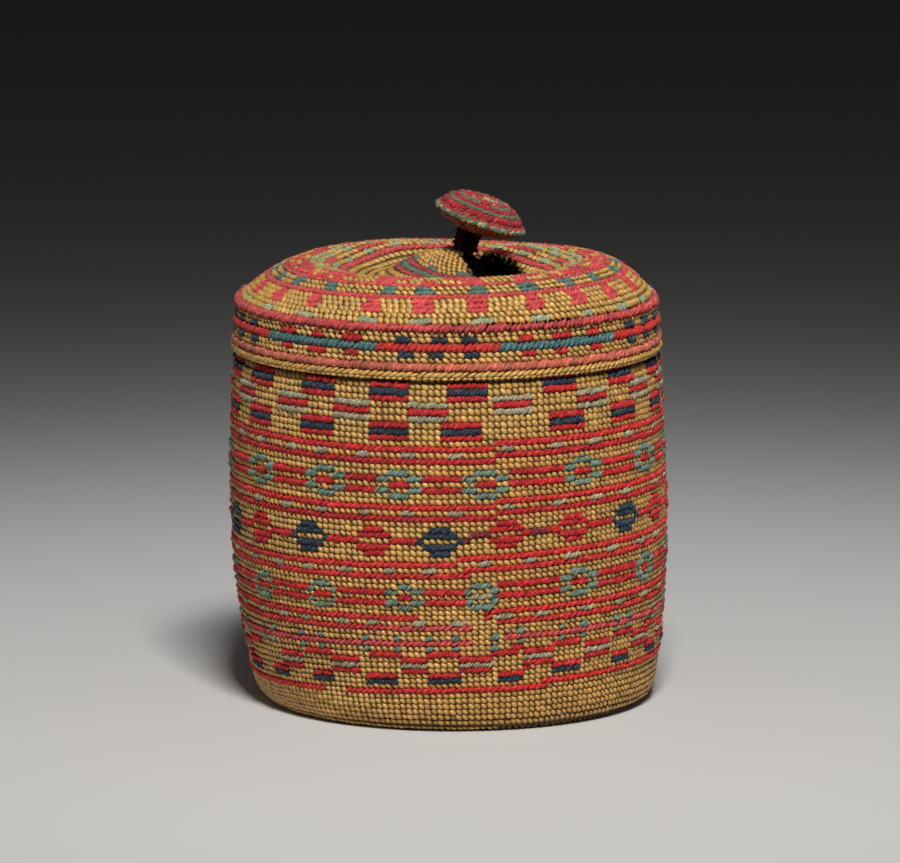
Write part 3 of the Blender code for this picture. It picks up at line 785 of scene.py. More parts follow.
DOT_TURNS = (
    -73.9, -61.6, -55.7, -44.5, -36.8, -23.6, -14.5, -5.5, 0.9, 11.0, 19.4, 30.2, 37.4, 50.8, 56.1, 69.5,
)
for turn in all_round(DOT_TURNS, 36):
    draw(45, turn, ["t"])
    draw(47, turn, ["t"])
for turn in all_round((-68.0, -39.5, -18.9, -2.3, 15.8, 32.6, 53.3, 70.0), 19):
    draw(48, turn, ["rrrrr"])
for number, turn in enumerate(all_round((-55.0, -38.4, -19.0, -1.8, 15.4, 32.4, 53.0, 70.0), 20)):
    wide = 4 if number in (0, 1, 4, 6, 7) else 5
    draw(52, turn, ["r" * wide, "n" * wide])
for turn in all_round((-78.0, -50.0, -29.9, -10.0, 6.4, 24.5, 43.4, 61.6, 80.0), 19):
    wide = 4 if turn == -10.0 else 5
    draw(49, turn, ["r" * wide, "d" * wide, "r" * wide])
print("coloured stitches on the pot's chart:", int((chart != GRASS).sum()), "of", chart.size)

# %% [markdown]
# ## Twined side of the pot
# Each stitch finds its row in the chart. Where the seam of a band isn't the spiral's own, a stitch near
# it belongs to the row before or after. Real rows aren't level: they tilt, and low on the left they
# drop. Grass beside red yarn has taken some of its dye, and grass near the foot has turned golden. The
# fabric is made in bands of rows, so that no mesh is heavy.


# %% Pot rows
NECK_PITCH = 1.8
FULL_ROWS = (11, 13, 21, 23, 31, 33, 41, 43, 46, 55)
WANDER, WANDER_SIZE = 0.16, 0.02
TILT_MARKS, TILTS = (3, 13, 30, 36, 43, 52, 57, 68, 83, 105), (0, 1.2, 0.9, 1.6, 2.0, 2.3, 1.7, 1.1, 0.5, 0)
DROP_MARKS, DROPS = (0, 5, 13, 28, 35, 45), (0, 1.6, 3.0, 2.4, 0.3, 0)
DROP_SHARE = 0.62
GOLD_START, GOLD_ROWS, GOLD_MOST, GOLD_LOSS = 55, 3.0, 0.8, (0.06, 0.10, 0.24)
BLUSH_MOST, BLUSH_LOSS = 0.32, (0.0, 0.42, 0.62)
REDS = [CODE[name] for name in ("red", "scarlet", "crimson", "rose")]


def charted(rows):
    """Colour number of every stitch round the pot in these rows."""
    return chart[np.clip(rows, 0, CHART_ROWS - 1), np.arange(STITCHES_ROUND)]


def straying(turn, heights):
    """How far rows stand over their even heights: a slow wave, plus the tilt, less the drop.

    The tilt goes by the sine of the turn. The drop is on the left only and goes by one less the cosine
    of twice that sine.
    """
    side = np.sin(turn)
    tilt = MM * np.interp(heights / MM, TILT_MARKS, TILTS) * side
    wander = WANDER * MM * uneven(turn, heights, WANDER_SIZE) + tilt
    left = np.where(side < 0.0, 1.0 - np.cos(2.0 * side), 0.0)
    return wander - DROP_SHARE * MM * np.interp(heights / MM, DROP_MARKS, DROPS) * left


def pot_rows(first, last, form=FINE):
    """Stitches of rows first to last, which climb one row each time they come round."""
    share = (np.arange(STITCHES_ROUND) + 0.5) / STITCHES_ROUND
    turn = np.radians(SEAM + 360.0 * share)
    level = np.arange(first, last + 1)[:, None] - 1.0 + share
    heights = np.interp(level, ROW_MARKS, ROW_HEIGHTS)
    heights = np.where(level < 0.0, ROW_HEIGHTS[0] - NECK_PITCH * level, heights) * MM
    pitch = np.interp(level - 0.5, ROW_MARKS, ROW_HEIGHTS) - np.interp(level + 0.5, ROW_MARKS, ROW_HEIGHTS)
    pitch = np.where(level < 0.5, NECK_PITCH, pitch) * MM

    rows = np.arange(first, last + 1)[:, None]
    seam = np.interp(rows, SEAM_ROWS, SEAM_TURNS)
    rows = np.where(360.0 * share < seam - SEAM, rows - 1, rows)
    rows = np.where(360.0 * share > 360.0 + seam - SEAM, rows + 1, rows)
    code = charted(rows)
    rope = np.isin(rows, FULL_ROWS)
    width = 2.0 * math.pi * np.interp(at_height(heights), profile_s, profile_r) / STITCHES_ROUND
    places = at_height(heights + straying(turn, heights))
    stitches = lay(pot_surface, turn, places, width, pitch, code, form, rope)

    plant = PLANT[code]
    stained = np.isin(charted(rows - 1), REDS) | np.isin(charted(rows + 1), REDS)
    blush = (BLUSH_MOST * chance.random(int(plant.sum())) * stained[plant])[:, None]
    golden = GOLD_MOST * np.clip((rows[plant] - GOLD_START) / GOLD_ROWS, 0.0, 1.0)[:, None]
    stitches["tint"][~stitches["wool"]] *= (1.0 - golden * GOLD_LOSS) * (1.0 - blush * BLUSH_LOSS)
    return stitches


YARN = "yarn_course_"
sew("twined_blocks", [pot_rows(1, 10)], "basket", ["basket_wall"])
sew("twined_rosettes", [pot_rows(11, 20)], "basket", [YARN + "11", YARN + "13"])
sew("twined_diamonds", [pot_rows(21, 30)], "basket", [YARN + "21", YARN + "23"])
sew("twined_low_rosettes", [pot_rows(31, 40)], "basket", [YARN + "31", YARN + "33"])
low_nodes = [YARN + "41", YARN + "43", YARN + "46", YARN + "55"]
sew("twined_checks", [pot_rows(41, 52)], "basket", low_nodes)
sew("twined_foot", [pot_rows(53, 62)], "basket", [])
sew("twined_neck", [pot_rows(-4, 0, PLAIN)], "basket", [])


# %% [markdown]
# ## Underside
# The bottom was woven first, from its middle outward, with uprights added as it grew. Each ring has
# as many stitches as fit at two millimetres, and nothing shows but grass.

# %% Underside rings
ROW_PITCH, RING_SHIFT, FEWEST = 1.66, 7.3, 6
LAST_ROW_HEIGHT, FIRST_RING_GAP, LEAST_RING = 0.0008, 1.4, 1.2


def ring(surface, s, radius, code, form=FINE, length=2.0, height=ROW_PITCH, **shape):
    """A closed ring of stitches about length mm long; code is one colour or a function of the turns."""
    count = max(FEWEST, int(round(2.0 * math.pi * radius / (length * MM))))
    turn = 2.0 * math.pi * (np.arange(count) + 0.5) / count + RING_SHIFT * s / MM
    colours = code(np.degrees(turn)) if callable(code) else np.full(count, code)
    width = 2.0 * math.pi * radius / count
    return lay(surface, turn, s, width, height * MM, colours, form, **shape)


foot_s = float(at_height(LAST_ROW_HEIGHT)) - FIRST_RING_GAP * MM
ring_places = np.arange(foot_s, LEAST_RING * MM, -ROW_PITCH * MM)
ring_radii = np.interp(ring_places, profile_s, profile_r)
rings = [ring(pot_surface, s, r, GRASS, PLAIN, proud=0.7) for s, r in zip(ring_places, ring_radii)]
sew("twined_underside", rings, "basket", ["basket_base"])

# %% [markdown]
# ## Lining
# Behind the beads lie the uprights and the other half of every strand. A closed shell stands for
# them: it keeps the beads from showing light between them, and it is what is seen inside the pot.
# Its finish draws the inner twining by rows and columns from the mesh's own map.

# %% Lining finish
# Partly the straw's own colour, partly painted shade: the lining is dark brown and darkest between its own
# beads, so the gaps look shaded.
LINING_DARK, LINING_LIGHT = (0.075, 0.036, 0.012, 1.0), (0.42, 0.26, 0.10, 1.0)
lining = Finish("twined_lining", Sheen_Weight=0.05)
place = lining.node("ShaderNodeUVMap", {"uv_map": "weave"}, {})
column = lining.node("ShaderNodeSeparateXYZ", {}, {0: place}, "X")
level = lining.node("ShaderNodeSeparateXYZ", {}, {0: place}, "Y")
wave = lining.sine((column + 0.35 * level) * (2.0 * math.pi))
tier = lining.sine(level * (2.0 * math.pi))
bead = (wave + 1.0) * (tier + 1.0) * 0.25
cloudy = lining.noise(place, 0.35, 3.0)
lining_colour = lining.shaded(lining.blended(bead, LINING_DARK, LINING_LIGHT), 0.7 + 0.6 * cloudy)
lining_finish = lining.done(lining_colour, 0.75 + 0.15 * bead, bead, 0.0006)

# %% Closed shells
SHELL_SIDES, SHELL_INSET = 180, 0.5


def shell(name, surface, lengths, thick, columns_round, row_pitch, body):
    """Closed wall between a surface sunk by the inset and one sunk by thick, in mm, over these lengths.

    Its map counts columns round the piece and rows along it. A square that crosses from the last
    column to the first has the whole number of columns added where its count has gone back to nought.
    """
    turn = 2.0 * math.pi * np.arange(SHELL_SIDES) / SHELL_SIDES
    turns, places = np.meshgrid(turn, lengths, indexing="ij")
    at, _, _, out = stand_on(surface, turns, places)
    loop = np.concatenate([at - out * SHELL_INSET * MM, (at - out * thick * MM)[:, ::-1]], 1)
    high = loop.shape[1]
    last = np.arange(SHELL_SIDES) * high + high - 1
    closing = np.stack([last, np.roll(last, -1)], -1)
    closing = np.concatenate([closing, (closing - high + 1)[:, ::-1]], 1)
    quads = np.vstack([grid_faces(SHELL_SIDES, high, True), closing])
    piece = make_piece(name, loop.reshape(-1, 3), quads)
    spot = np.stack([turns / (2.0 * math.pi) * columns_round, places / row_pitch], -1)
    spot = np.concatenate([spot, spot[:, ::-1]], 1)
    squares = spot.reshape(-1, 2)[quads]
    wraps = np.ptp(squares[..., 0], axis=1) > columns_round / 2.0
    squares[..., 0] += (wraps[:, None] & (squares[..., 0] < columns_round / 2.0)) * columns_round
    write_map(piece, "weave", squares)
    piece.data.materials.append(lining_finish)
    dress(piece, body, [])


flat_lengths = np.linspace(2.0 * MM, foot_s, 10)
side_lengths = np.linspace(foot_s + 1.0 * MM, profile_s[-1] - 0.5 * MM, 44)
pot_lengths = np.concatenate([[0.3 * MM], flat_lengths, side_lengths])
shell("pot_lining", pot_surface, pot_lengths, 1.9, STITCHES_ROUND, ROW_PITCH * MM, "basket")

# %% [markdown]
# ## Shape of the lid
# The lid is a short skirt under a dome. The dome's middle has sunk: a ring-shaped pit goes round a
# low mound, off the middle, that carries the knob, and a deep fold lies right of the stem. The rows
# follow the pit and then close in round the mound, so their centre moves sideways as they shrink.

# %% Lid surfaces
CREST_RADIUS, CREST_REACH, CREST_TURN = 0.034, 0.012, 1.6
DOME_RISE, DOME_POWER, DOME_FULLNESS = 0.0127, 2.7, 0.5
PIT_RADIUS, PIT_DEPTH = 0.020, 0.0072
MOUND_X, MOUND_LEFT, MOUND_RIGHT = 0.005, 0.0215, 0.009
MOUND_RISE, MOUND_POWER, MOUND_DEPTH = 0.0095, 3, 0.015
SAG_X, SAG_Y, SAG_WIDTH, SAG_DEPTH = 0.018, 0.040, 0.026, 0.0014
FOLD_X, FOLD_Y, FOLD_WIDTH, FOLD_LENGTH, FOLD_DEPTH = 0.0155, 0.004, 0.0075, 0.011, 0.008
CLOSING_START, CLOSING_WIDTH = 0.031, 0.013


def smooth(x):
    """Smooth step from 0 to 1: x * x * (3 - 2 * x)."""
    x = np.clip(x, 0.0, 1.0)
    return x * x * (3.0 - 2.0 * x)


def dome_height(x, y):
    """Height over the lid's lower edge: a dome, less a sag, less the pit round the mound, less a fold."""
    radius = np.hypot(x, y)
    side, front = x / np.maximum(radius, 1e-9), -y / np.maximum(radius, 1e-9)
    outward = np.clip((radius - CREST_RADIUS) / (skirt_radius(SKIRT_HEIGHT) - CREST_RADIUS), 0.0, None)
    dome = DOME_RISE * (1.0 - outward ** (DOME_POWER + DOME_FULLNESS * side))
    from_sag = ((x - SAG_X) / SAG_WIDTH) ** 2 + ((y - SAG_Y) / SAG_WIDTH) ** 2
    sag = SAG_DEPTH * (1.0 - outward**2) * np.exp(-from_sag)
    crest = CREST_RADIUS + CREST_REACH * smooth(CREST_TURN * (1.0 + front))
    sunk = smooth((crest - radius) / (crest - PIT_RADIUS))
    spread = np.where(x < MOUND_X, MOUND_LEFT, MOUND_RIGHT)
    from_mound = np.abs((x - MOUND_X) / spread) ** MOUND_POWER + (y / MOUND_DEPTH) ** 2
    mound = MOUND_RISE * np.exp(-from_mound)
    from_fold = ((x - FOLD_X) / FOLD_WIDTH) ** 2 + ((y - FOLD_Y) / FOLD_LENGTH) ** 2
    fold = FOLD_DEPTH * np.exp(-from_fold)
    return SKIRT_HEIGHT + dome - sag + sunk * (mound - PIT_DEPTH) - fold


def skirt_surface(turn, z):
    """Point of the lid's skirt at a height over its lower edge."""
    return turned(turn, skirt_radius(z), LID_LINE + z, LID_X)


def top_surface(turn, inward):
    """Point of the lid's top; inward is minus the ring's radius, and small rings close in on the mound."""
    radius = -inward
    middle = MOUND_X * smooth((CLOSING_START - radius) / CLOSING_WIDTH)
    x, y = middle + radius * np.sin(turn), -radius * np.cos(turn)
    return np.stack([LID_X + x, y, LID_LINE + dome_height(x, y)], -1)


stem_ground = float(dome_height(MOUND_X, 0.0))
print(f"skirt {1000 * SKIRT_HEIGHT:.1f} mm high, the mound's top {1000 * stem_ground:.1f} mm over its edge")

# %% [markdown]
# ## Skirt of the lid
# From the shoulder down the skirt has a rope of rose yarn, a plain row, a row of dots, a thick line in
# ten lengths of teal and red, dots again, a plain row, a thick salmon rope, and an edge twisted from
# two bundles of grass over a row of small beads.

# %% Skirt rows
SEGMENT_ENDS = np.array([-92.0, -55.8, -18.3, 13.6, 51.3, 86.0, 121.0, 157.0, 193.0, 230.0, 268.0])
DOT_SHARES, DOT_HALF = np.array([0.215, 0.5, 0.785]), 0.057


def from_first(turns):
    """The same turns, counted once round from the start of the first length."""
    return (turns - SEGMENT_ENDS[0]) % 360.0 + SEGMENT_ENDS[0]


def segment_of(turns):
    """Number of the thick line's length at each turn; odd ones are teal."""
    return np.searchsorted(SEGMENT_ENDS, from_first(turns)) - 1


def thick_line(turns):
    """Teal and red by turns."""
    return np.where(segment_of(turns) % 2 == 1, CODE["blue"], CODE["scarlet"])


def skirt_dots(turns):
    """Three short dots to each length of the thick line: red by a teal one, navy by a red one."""
    number = segment_of(turns)
    start, end = SEGMENT_ENDS[number], SEGMENT_ENDS[number + 1]
    away = np.abs(((from_first(turns) - start) / (end - start))[:, None] - DOT_SHARES).min(1)
    yarns = np.where(number % 2 == 1, CODE["red"], CODE["navy"])
    return np.where(away < DOT_HALF, yarns, GRASS)


def skirt_ring(z, code, height, length=2.15, **shape):
    """Ring of stitches on the skirt; z and height are in mm."""
    return ring(skirt_surface, z * MM, skirt_radius(z * MM), code, FINE, length, height, **shape)


skirt = [
    skirt_ring(13.7, GRASS, 1.55),
    skirt_ring(12.2, skirt_dots, 1.6),
    skirt_ring(9.9, thick_line, 2.25, 1.75, rope=True, proud=1.55, lean=0.75),
    skirt_ring(7.8, skirt_dots, 1.65),
    skirt_ring(6.3, GRASS, 1.5),
]
skirt_cords = [f"skirt_cord_{colour}_{n}" for colour in ("scarlet", "teal") for n in range(1, 6)]
sew("skirt_twining", skirt, "lid", ["lid_skirt", *skirt_cords])
salmon_rope = skirt_ring(4.35, CODE["salmon"], 2.5, 2.2, proud=1.35, tall=0.98, long=1.9)
sew("skirt_salmon_rope", [salmon_rope], "lid", ["skirt_cord_salmon"])

# %% [markdown]
# The shoulder's rope lies in the round corner between the skirt and the top, and the lower edge is a
# braid of two bundles of grass.

# %% Shoulder and edge
SHOULDER_RADIUS, SHOULDER_HEIGHT, SHOULDER_CORNER = 0.0619, 0.0151, 0.001
ROPE_PLACE, ROPE_RADIUS = 0.8, 0.0626


def shoulder_surface(turn, a):
    """Round corner of the shoulder: a goes from the side over the top, in radians of a small circle."""
    height = LID_LINE + SHOULDER_HEIGHT + SHOULDER_CORNER * np.sin(a)
    return turned(turn, SHOULDER_RADIUS + SHOULDER_CORNER * np.cos(a), height, LID_X)


rope_shape = {"proud": 1.45, "tall": 1.0, "lean": 0.8, "long": 1.9}
shoulder_rope = ring(shoulder_surface, ROPE_PLACE, ROPE_RADIUS, CODE["rose"], FINE, 3.0, 2.1, **rope_shape)
sew("shoulder_rope", [shoulder_rope], "lid", ["shoulder_cord_rose"])
edge = [
    skirt_ring(2.1, CODE["braid"], 1.55, 2.1, lean=0.42, long=1.7, proud=1.25, tall=1.0),
    skirt_ring(1.0, CODE["braid"], 1.0, 1.9, lean=0.1, long=1.15, proud=0.85, tall=1.0),
]
sew("edge_braid", edge, "lid", ["lid_edge_braid"])

# %% [markdown]
# ## Top of the lid
# Rings follow the dome inward. Coral blocks three rows tall stand over sage dots, teal pairs follow
# inside a rose ring, and sage, rose and red rings mark the crest and the rim of the pit. The pit is
# stained darker, and the stitches in the deep fold beside the stem are painted nearly black as shadow.


# %% Top rings
def dotted(yarn, turns, width, ground="grass"):
    """Colour function: dots of a yarn, each width degrees wide, at these turns on a ground."""
    def colours(turn):
        """Colour number at each turn, in degrees."""
        away = np.abs((turn[:, None] - np.asarray(turns)[None] + 180.0) % 360.0 - 180.0)
        return np.where(away.min(1) < width / 2.0, CODE[yarn], CODE[ground])
    return colours


def evenly(count, start=0.0):
    """Turns of count even steps."""
    return start + np.arange(count) * 360.0 / count


def top_ring(radius, code, height=2.0, length=2.0, **shape):
    """Ring of stitches on the lid's top; radius and height are in mm."""
    return ring(top_surface, -radius * MM, radius * MM, code, FINE, length, height, **shape)


BLOCKS = all_round((-78.0, -60.6, -43.4, -22.7, -7.1, 9.4, 27.3, 43.0, 58.4, 73.5), 21)
SIDES = (-86.0, -69.5, -52.0, 51.0, 66.0, 82.0)
PAIRS = all_round((-74.0, -59.0, -41.6, -19.6, -7.2, 10.3, 28.0, 44.3, 58.3, 76.7), 21)
outer_rings = [
    top_ring(60.9, dotted("sage", BLOCKS, 5.2), 2.3, proud=1.0),
    top_ring(59.45, GRASS, 1.9, 2.0),
    top_ring(58.1, dotted("coral", BLOCKS, 5.4), 2.1, proud=0.9),
    top_ring(56.7, dotted("coral", BLOCKS, 5.8), 2.15, proud=0.9),
    top_ring(55.2, dotted("coral", BLOCKS, 5.4), 2.1, proud=0.9),
    top_ring(53.6, CODE["rose"], 1.9, 1.8, rope=True, proud=1.0),
    top_ring(51.9, dotted("spruce", PAIRS, 5.6), 1.9, proud=0.95, tall=1.0),
    top_ring(50.0, dotted("spruce", PAIRS, 5.6), 1.9, proud=0.95, tall=1.0),
    top_ring(48.2, CODE["rose"], 1.4, rope=True, proud=0.9),
    top_ring(46.4, dotted("coral", [*BLOCKS, *SIDES], 6.2), 2.1, proud=0.9),
    top_ring(44.3, dotted("rose", evenly(14, 6.0), 15.0), 2.1, proud=0.9),
]
inner_rings = [
    top_ring(42.1, dotted("rose", evenly(12, -80.0), 21.0), 2.2, proud=0.8),
    top_ring(39.9, dotted("sage", evenly(26), 7.5), 2.2, proud=0.7),
    top_ring(37.7, dotted("sage", evenly(22, 4.0), 8.5), 2.2, proud=0.7),
    top_ring(35.5, dotted("rose", evenly(9, 20.0), 19.0), 2.2, proud=0.7),
    top_ring(33.3, dotted("sage", evenly(20, 9.0), 8.0), 2.2, proud=0.7),
    top_ring(31.0, CODE["rose"], 2.3, rope=True, proud=0.9),
    *[top_ring(r, GRASS, 2.2) for r in (28.8, 26.8, 24.9, 23.0, 21.3)],
    top_ring(19.6, CODE["rose"], 1.8, proud=0.8),
    top_ring(17.9, CODE["teal"], 1.8, proud=0.8),
    top_ring(16.2, CODE["rose"], 1.8, proud=0.8),
    top_ring(14.5, dotted("teal", evenly(9), 16.0), 1.7, 1.6, proud=0.8),
    *[top_ring(r, GRASS, 1.7, 1.6) for r in (13.0, 11.5, 10.0, 8.5, 7.1)],
    top_ring(5.7, dotted("umber", evenly(5), 36.0), 1.6, 1.6),
    top_ring(4.3, CODE["umber"], 1.8),
]
print(len(outer_rings), "outer rings and", len(inner_rings), "inner rings on the lid's top")

# %% [markdown]
# The stain covers the pit. The painted shadow is an oval beside the stem, long from front to back, and
# inside it the stitches are painted nearly black and take the finish that throws nothing back.

# %% Stain, shade and the top's pieces
STAIN_RADIUS, STAIN_EDGE, WOOL_STAIN, GRASS_STAIN = 0.030, 0.004, 0.34, (0.10, 0.13, 0.18)
SHADE_X, SHADE_Y, SHADE_WIDE, SHADE_LONG = 0.0139, 0.004, 0.0102, 0.0240
SHADE_LEAST, SHADE_START, SHADE_SOFT, SHADE_LIMIT = 0.01, 0.85, 0.3, 0.98
for rows in inner_rings:
    x, y = (rows["at"] - (LID_X, 0.0, 0.0))[:, :2].T
    stained = smooth((STAIN_RADIUS - np.hypot(x, y)) / STAIN_EDGE)[:, None]
    rows["tint"] = rows["tint"] * (1.0 - stained * np.where(rows["wool"][:, None], WOOL_STAIN, GRASS_STAIN))
    # Painted shadow: in the oval beside the stem the stitches are darkened to nearly black.
    oval = ((x - SHADE_X) / SHADE_WIDE) ** 2 + ((y - SHADE_Y) / SHADE_LONG) ** 2
    light_left = SHADE_LEAST + (1.0 - SHADE_LEAST) * smooth((oval - SHADE_START) / SHADE_SOFT)
    rows["tint"] = rows["tint"] * light_left[:, None]
    rows["shade"] = oval < SHADE_LIMIT
top_nodes = ["lid_top", "top_ring_rose", "top_ring_fine"]
sew("lid_top_outer", outer_rings, "lid", top_nodes)
sew("lid_top_inner", inner_rings, "lid", ["crest_ring_sage", "pit_ring_red"])

top_radii = -np.concatenate([np.linspace(60.8, 36.0, 16), np.linspace(34.5, 4.0, 24), [1.0]]) * MM
shell("lid_top_lining", top_surface, top_radii, 1.7, 180, 2.0 * MM, "lid")
skirt_lengths = np.linspace(1.2, 15.4, 8) * MM
shell("skirt_lining", skirt_surface, skirt_lengths, 1.35, 184, 1.7 * MM, "lid")

# %% [markdown]
# ## Rim of the pot
# The neck under the lid ends in the same two-bundle braid. It shows only when the lid is lifted.

# %% Rim braid
RIM_INSET, RIM_HALF_WIDE = 0.001, 0.00075
RIM_BELOW, RIM_HALF_HIGH = 0.0013, 0.0009


def rim_surface(turn, a):
    """Round edge on top of the neck: a goes from the outside over the top, in radians of a small circle."""
    radius = neck_radius - RIM_INSET + RIM_HALF_WIDE * np.cos(a)
    z = RIM_HEIGHT - RIM_BELOW + RIM_HALF_HIGH * np.sin(a)
    return turned(turn, radius, z, body_lean(z))


rim_shape = {"lean": 0.4, "long": 2.0, "proud": 0.8}
rim = [
    ring(rim_surface, a, neck_radius, CODE["braid"], PLAIN, 2.2, 1.6, **rim_shape)
    for a in (0.3, 1.6, 2.8)
]
sew("rim_braid_strands", rim, "basket", ["rim_braid"])

# %% [markdown]
# ## Knob
# The knob is a small woven cushion on a leaning stem. Its upper side is a full dome, its underside a
# shallow one, and a sage course goes round its edge where the two meet. From there two red rows climb
# to a thin sage line, and red and sage rings close in on a few bright grass stitches in the middle.

# %% Knob frame
STEM_LENGTH, STEM_RADIUS, STEM_SEAT = 0.0081, 0.0026, 0.0003
KNOB_LEAN_RIGHT, KNOB_LEAN_FRONT, KNOB_ASIDE = 19.2, 1.8, 0.0015
KNOB_RADIUS, KNOB_CROWN, KNOB_DEPTH, KNOB_SETTLED = 0.0142, 0.0073, 0.0034, 0.0007
CROWN_POWER, UNDER_DEPTH, UNDER_POWER = 3.9, 0.0044, 3
FACE_LIMIT, FACE_INSET, UNDER_INSET = 0.0141, 0.0009, 0.0003
EDGE_RADIUS, EDGE_HALF_WIDE, EDGE_HEIGHT, EDGE_HALF_HIGH = 0.0133, 0.0006, 0.0001, 0.0007

foot = Vector((LID_X + MOUND_X, 0.0, LID_LINE + stem_ground + STEM_SEAT))
to_front = Matrix.Rotation(math.radians(KNOB_LEAN_FRONT), 4, "X")
to_right = Matrix.Rotation(math.radians(KNOB_LEAN_RIGHT), 4, "Y")
stem_frame = Matrix.Translation(foot) @ to_front @ to_right
onto_stem = Matrix.Translation((KNOB_ASIDE, 0.0, STEM_LENGTH + KNOB_DEPTH - KNOB_SETTLED))
stem_axes, knob_axes = np.array(stem_frame), np.array(stem_frame @ onto_stem)
print("the stem stands at", [round(1000 * v, 1) for v in foot], "mm")


def carried(points, axes):
    """Points written on the axes of the stem or the knob, in the basket's own."""
    return points @ axes[:3, :3].T + axes[:3, 3]


def in_knob(turn, radius, height):
    """Point at a turn, a radius and a height on the knob's own axes, in the basket's."""
    return carried(turned(turn, radius, height), knob_axes)


def crown_height(radius):
    """Upper dome: it falls with the 3.9th power of the radius."""
    return KNOB_CROWN * (1.0 - (radius / KNOB_RADIUS) ** CROWN_POWER)


def hanging_height(radius):
    """Lower dome: it hangs down and rises with the third power of the radius."""
    return -UNDER_DEPTH * (1.0 - (radius / KNOB_RADIUS) ** UNDER_POWER)


def knob_face(turn, inward):
    """Upper side of the knob; inward is minus the radius."""
    radius = np.clip(-inward, 0.0, FACE_LIMIT)
    return in_knob(turn, radius, crown_height(radius) - FACE_INSET)


def knob_edge(turn, a):
    """Edge course: a small circle turned about the knob's axis; a goes from outside over the top."""
    return in_knob(turn, EDGE_RADIUS + EDGE_HALF_WIDE * np.cos(a), EDGE_HEIGHT + EDGE_HALF_HIGH * np.sin(a))


def knob_under(turn, outward):
    """Underside of the knob at a radius."""
    return in_knob(turn, outward, hanging_height(outward) + UNDER_INSET)


# %% Knob stitches
KNOB_STITCH = 1.75


def face_ring(radius, code, height, **shape):
    """Ring of small stitches on the knob's upper side; radius and height are in mm."""
    place, radius = -radius * MM, radius * MM
    return ring(knob_face, place, radius, code, FINE, KNOB_STITCH, height, lean=0.5, **shape)


def edge_ring(a, radius, code, height, **shape):
    """Ring of small stitches on the knob's edge, at an angle a of its small circle; sizes are in mm."""
    return ring(knob_edge, a, radius * MM, code, FINE, KNOB_STITCH, height, **shape)


def under_ring(radius, code):
    """Ring of small stitches on the knob's underside; the radius is in mm."""
    return ring(knob_under, radius * MM, radius * MM, code, FINE, KNOB_STITCH, 1.9, proud=0.8)


SAGE = CODE["knob_sage"]
face = [
    face_ring(13.35, dotted("salmon", evenly(3, 20.0), 4.0, "knob_red"), 2.6, rope=True, proud=1.0),
    face_ring(11.85, dotted("wine", evenly(9, 50.0), 9.0, "knob_red"), 2.4, rope=True, proud=1.0),
    face_ring(10.6, SAGE, 1.45, proud=1.0),
    face_ring(9.35, dotted("wine", evenly(7, 12.0), 12.0, "knob_red"), 1.9, rope=True, proud=0.9),
    face_ring(7.9, dotted("knob_red", evenly(4), 14.0, "knob_sage"), 1.7, proud=0.9),
    face_ring(6.4, dotted("salmon", evenly(5, 30.0), 16.0, "knob_red"), 1.8, rope=True, proud=0.9),
    face_ring(4.9, dotted("knob_sage", evenly(3, -40.0), 50.0, "knob_red"), 1.7, proud=0.85),
    face_ring(3.3, dotted("sage", (0.0, 70.0), 60.0, "knob_red"), 1.7, proud=0.85),
    face_ring(1.8, dotted("braid", (-20.0, 60.0), 60.0, "knob_red"), 1.6, proud=0.85),
    face_ring(0.6, CODE["braid"], 1.4, proud=0.8),
]
course_nodes = ["knob_red_band", "knob_sage_line", "knob_red_line", "knob_sage_ring", "knob_button"]
sew("knob_face_rows", face, "lid", course_nodes)
sage_edge = dotted("sage", evenly(26, 4.0), 5.0, "knob_sage")
mixed_edge = dotted("braid", evenly(30), 6.0, "knob_sage")
edge_rows = [
    edge_ring(0.9, 13.7, sage_edge, 1.3, proud=0.95, lean=0.6),
    edge_ring(-0.1, 13.9, sage_edge, 1.4, proud=0.85, lean=0.6),
    edge_ring(-1.2, 13.5, mixed_edge, 1.3, proud=0.8),
]
sew("knob_edge_rows", edge_rows, "lid", ["knob_edge_course"])
under_yarns = dotted("crimson", evenly(9, 15.0), 9.0, "ochre")
under = [under_ring(r, under_yarns) for r in (12.6, 11.2, 9.6, 8.0, 6.4, 4.8)]
sew("knob_under_rows", under, "lid", ["knob_disc"])

# %% [markdown]
# The rows are open between their stitches, so a closed core fills the cushion: the same two domes, a
# little inside the stitches.

# %% Knob core
CORE_SIDES, CORE_INSET, CORE_SQUARENESS = 40, 0.0009, 0.8
CORE_UNDER_FACE, CORE_OVER_UNDERSIDE = 0.0014, 0.0008
core_angle = np.linspace(0.0, math.pi, 25)[1:-1]
core_radius = (KNOB_RADIUS - CORE_INSET) * np.sin(core_angle) ** CORE_SQUARENESS
upper = crown_height(core_radius) - CORE_UNDER_FACE
lower = hanging_height(core_radius) + CORE_OVER_UNDERSIDE
core_height = np.where(core_angle < math.pi / 2.0, upper, lower)
turn = 2.0 * math.pi * np.arange(CORE_SIDES) / CORE_SIDES


def end_caps(sides, count):
    """Triangles that close a grid carried round, from its first and last points to two points after it."""
    near = np.arange(sides) * count
    far = near + count - 1
    first = np.stack([np.roll(near, -1), near, np.full(sides, sides * count)], -1)
    last = np.stack([far, np.roll(far, -1), np.full(sides, sides * count + 1)], -1)
    return np.vstack([first, last])


core_rings = in_knob(turn[:, None], core_radius, core_height).reshape(-1, 3)
poles = in_knob(0.0, 0.0, np.array([upper[0], lower[-1]]))
core_faces = grid_faces(CORE_SIDES, len(core_angle), True)[:, ::-1]
core_caps = end_caps(CORE_SIDES, len(core_angle))[:, ::-1]
knob_core = make_piece("knob_core", np.vstack([core_rings, poles]), core_faces, core_caps)
knob_core.data.materials.append(lining_finish)
dress(knob_core, "lid", [])

# %% [markdown]
# ## Stem
# The stem is a bundle of grass with dark maroon yarn wound round it in one unbroken helix. A round
# profile is carried along the helix, and its radius swells and thins a little as hand-wound yarn does.
# Two loose ends stand out on the left, under the knob.

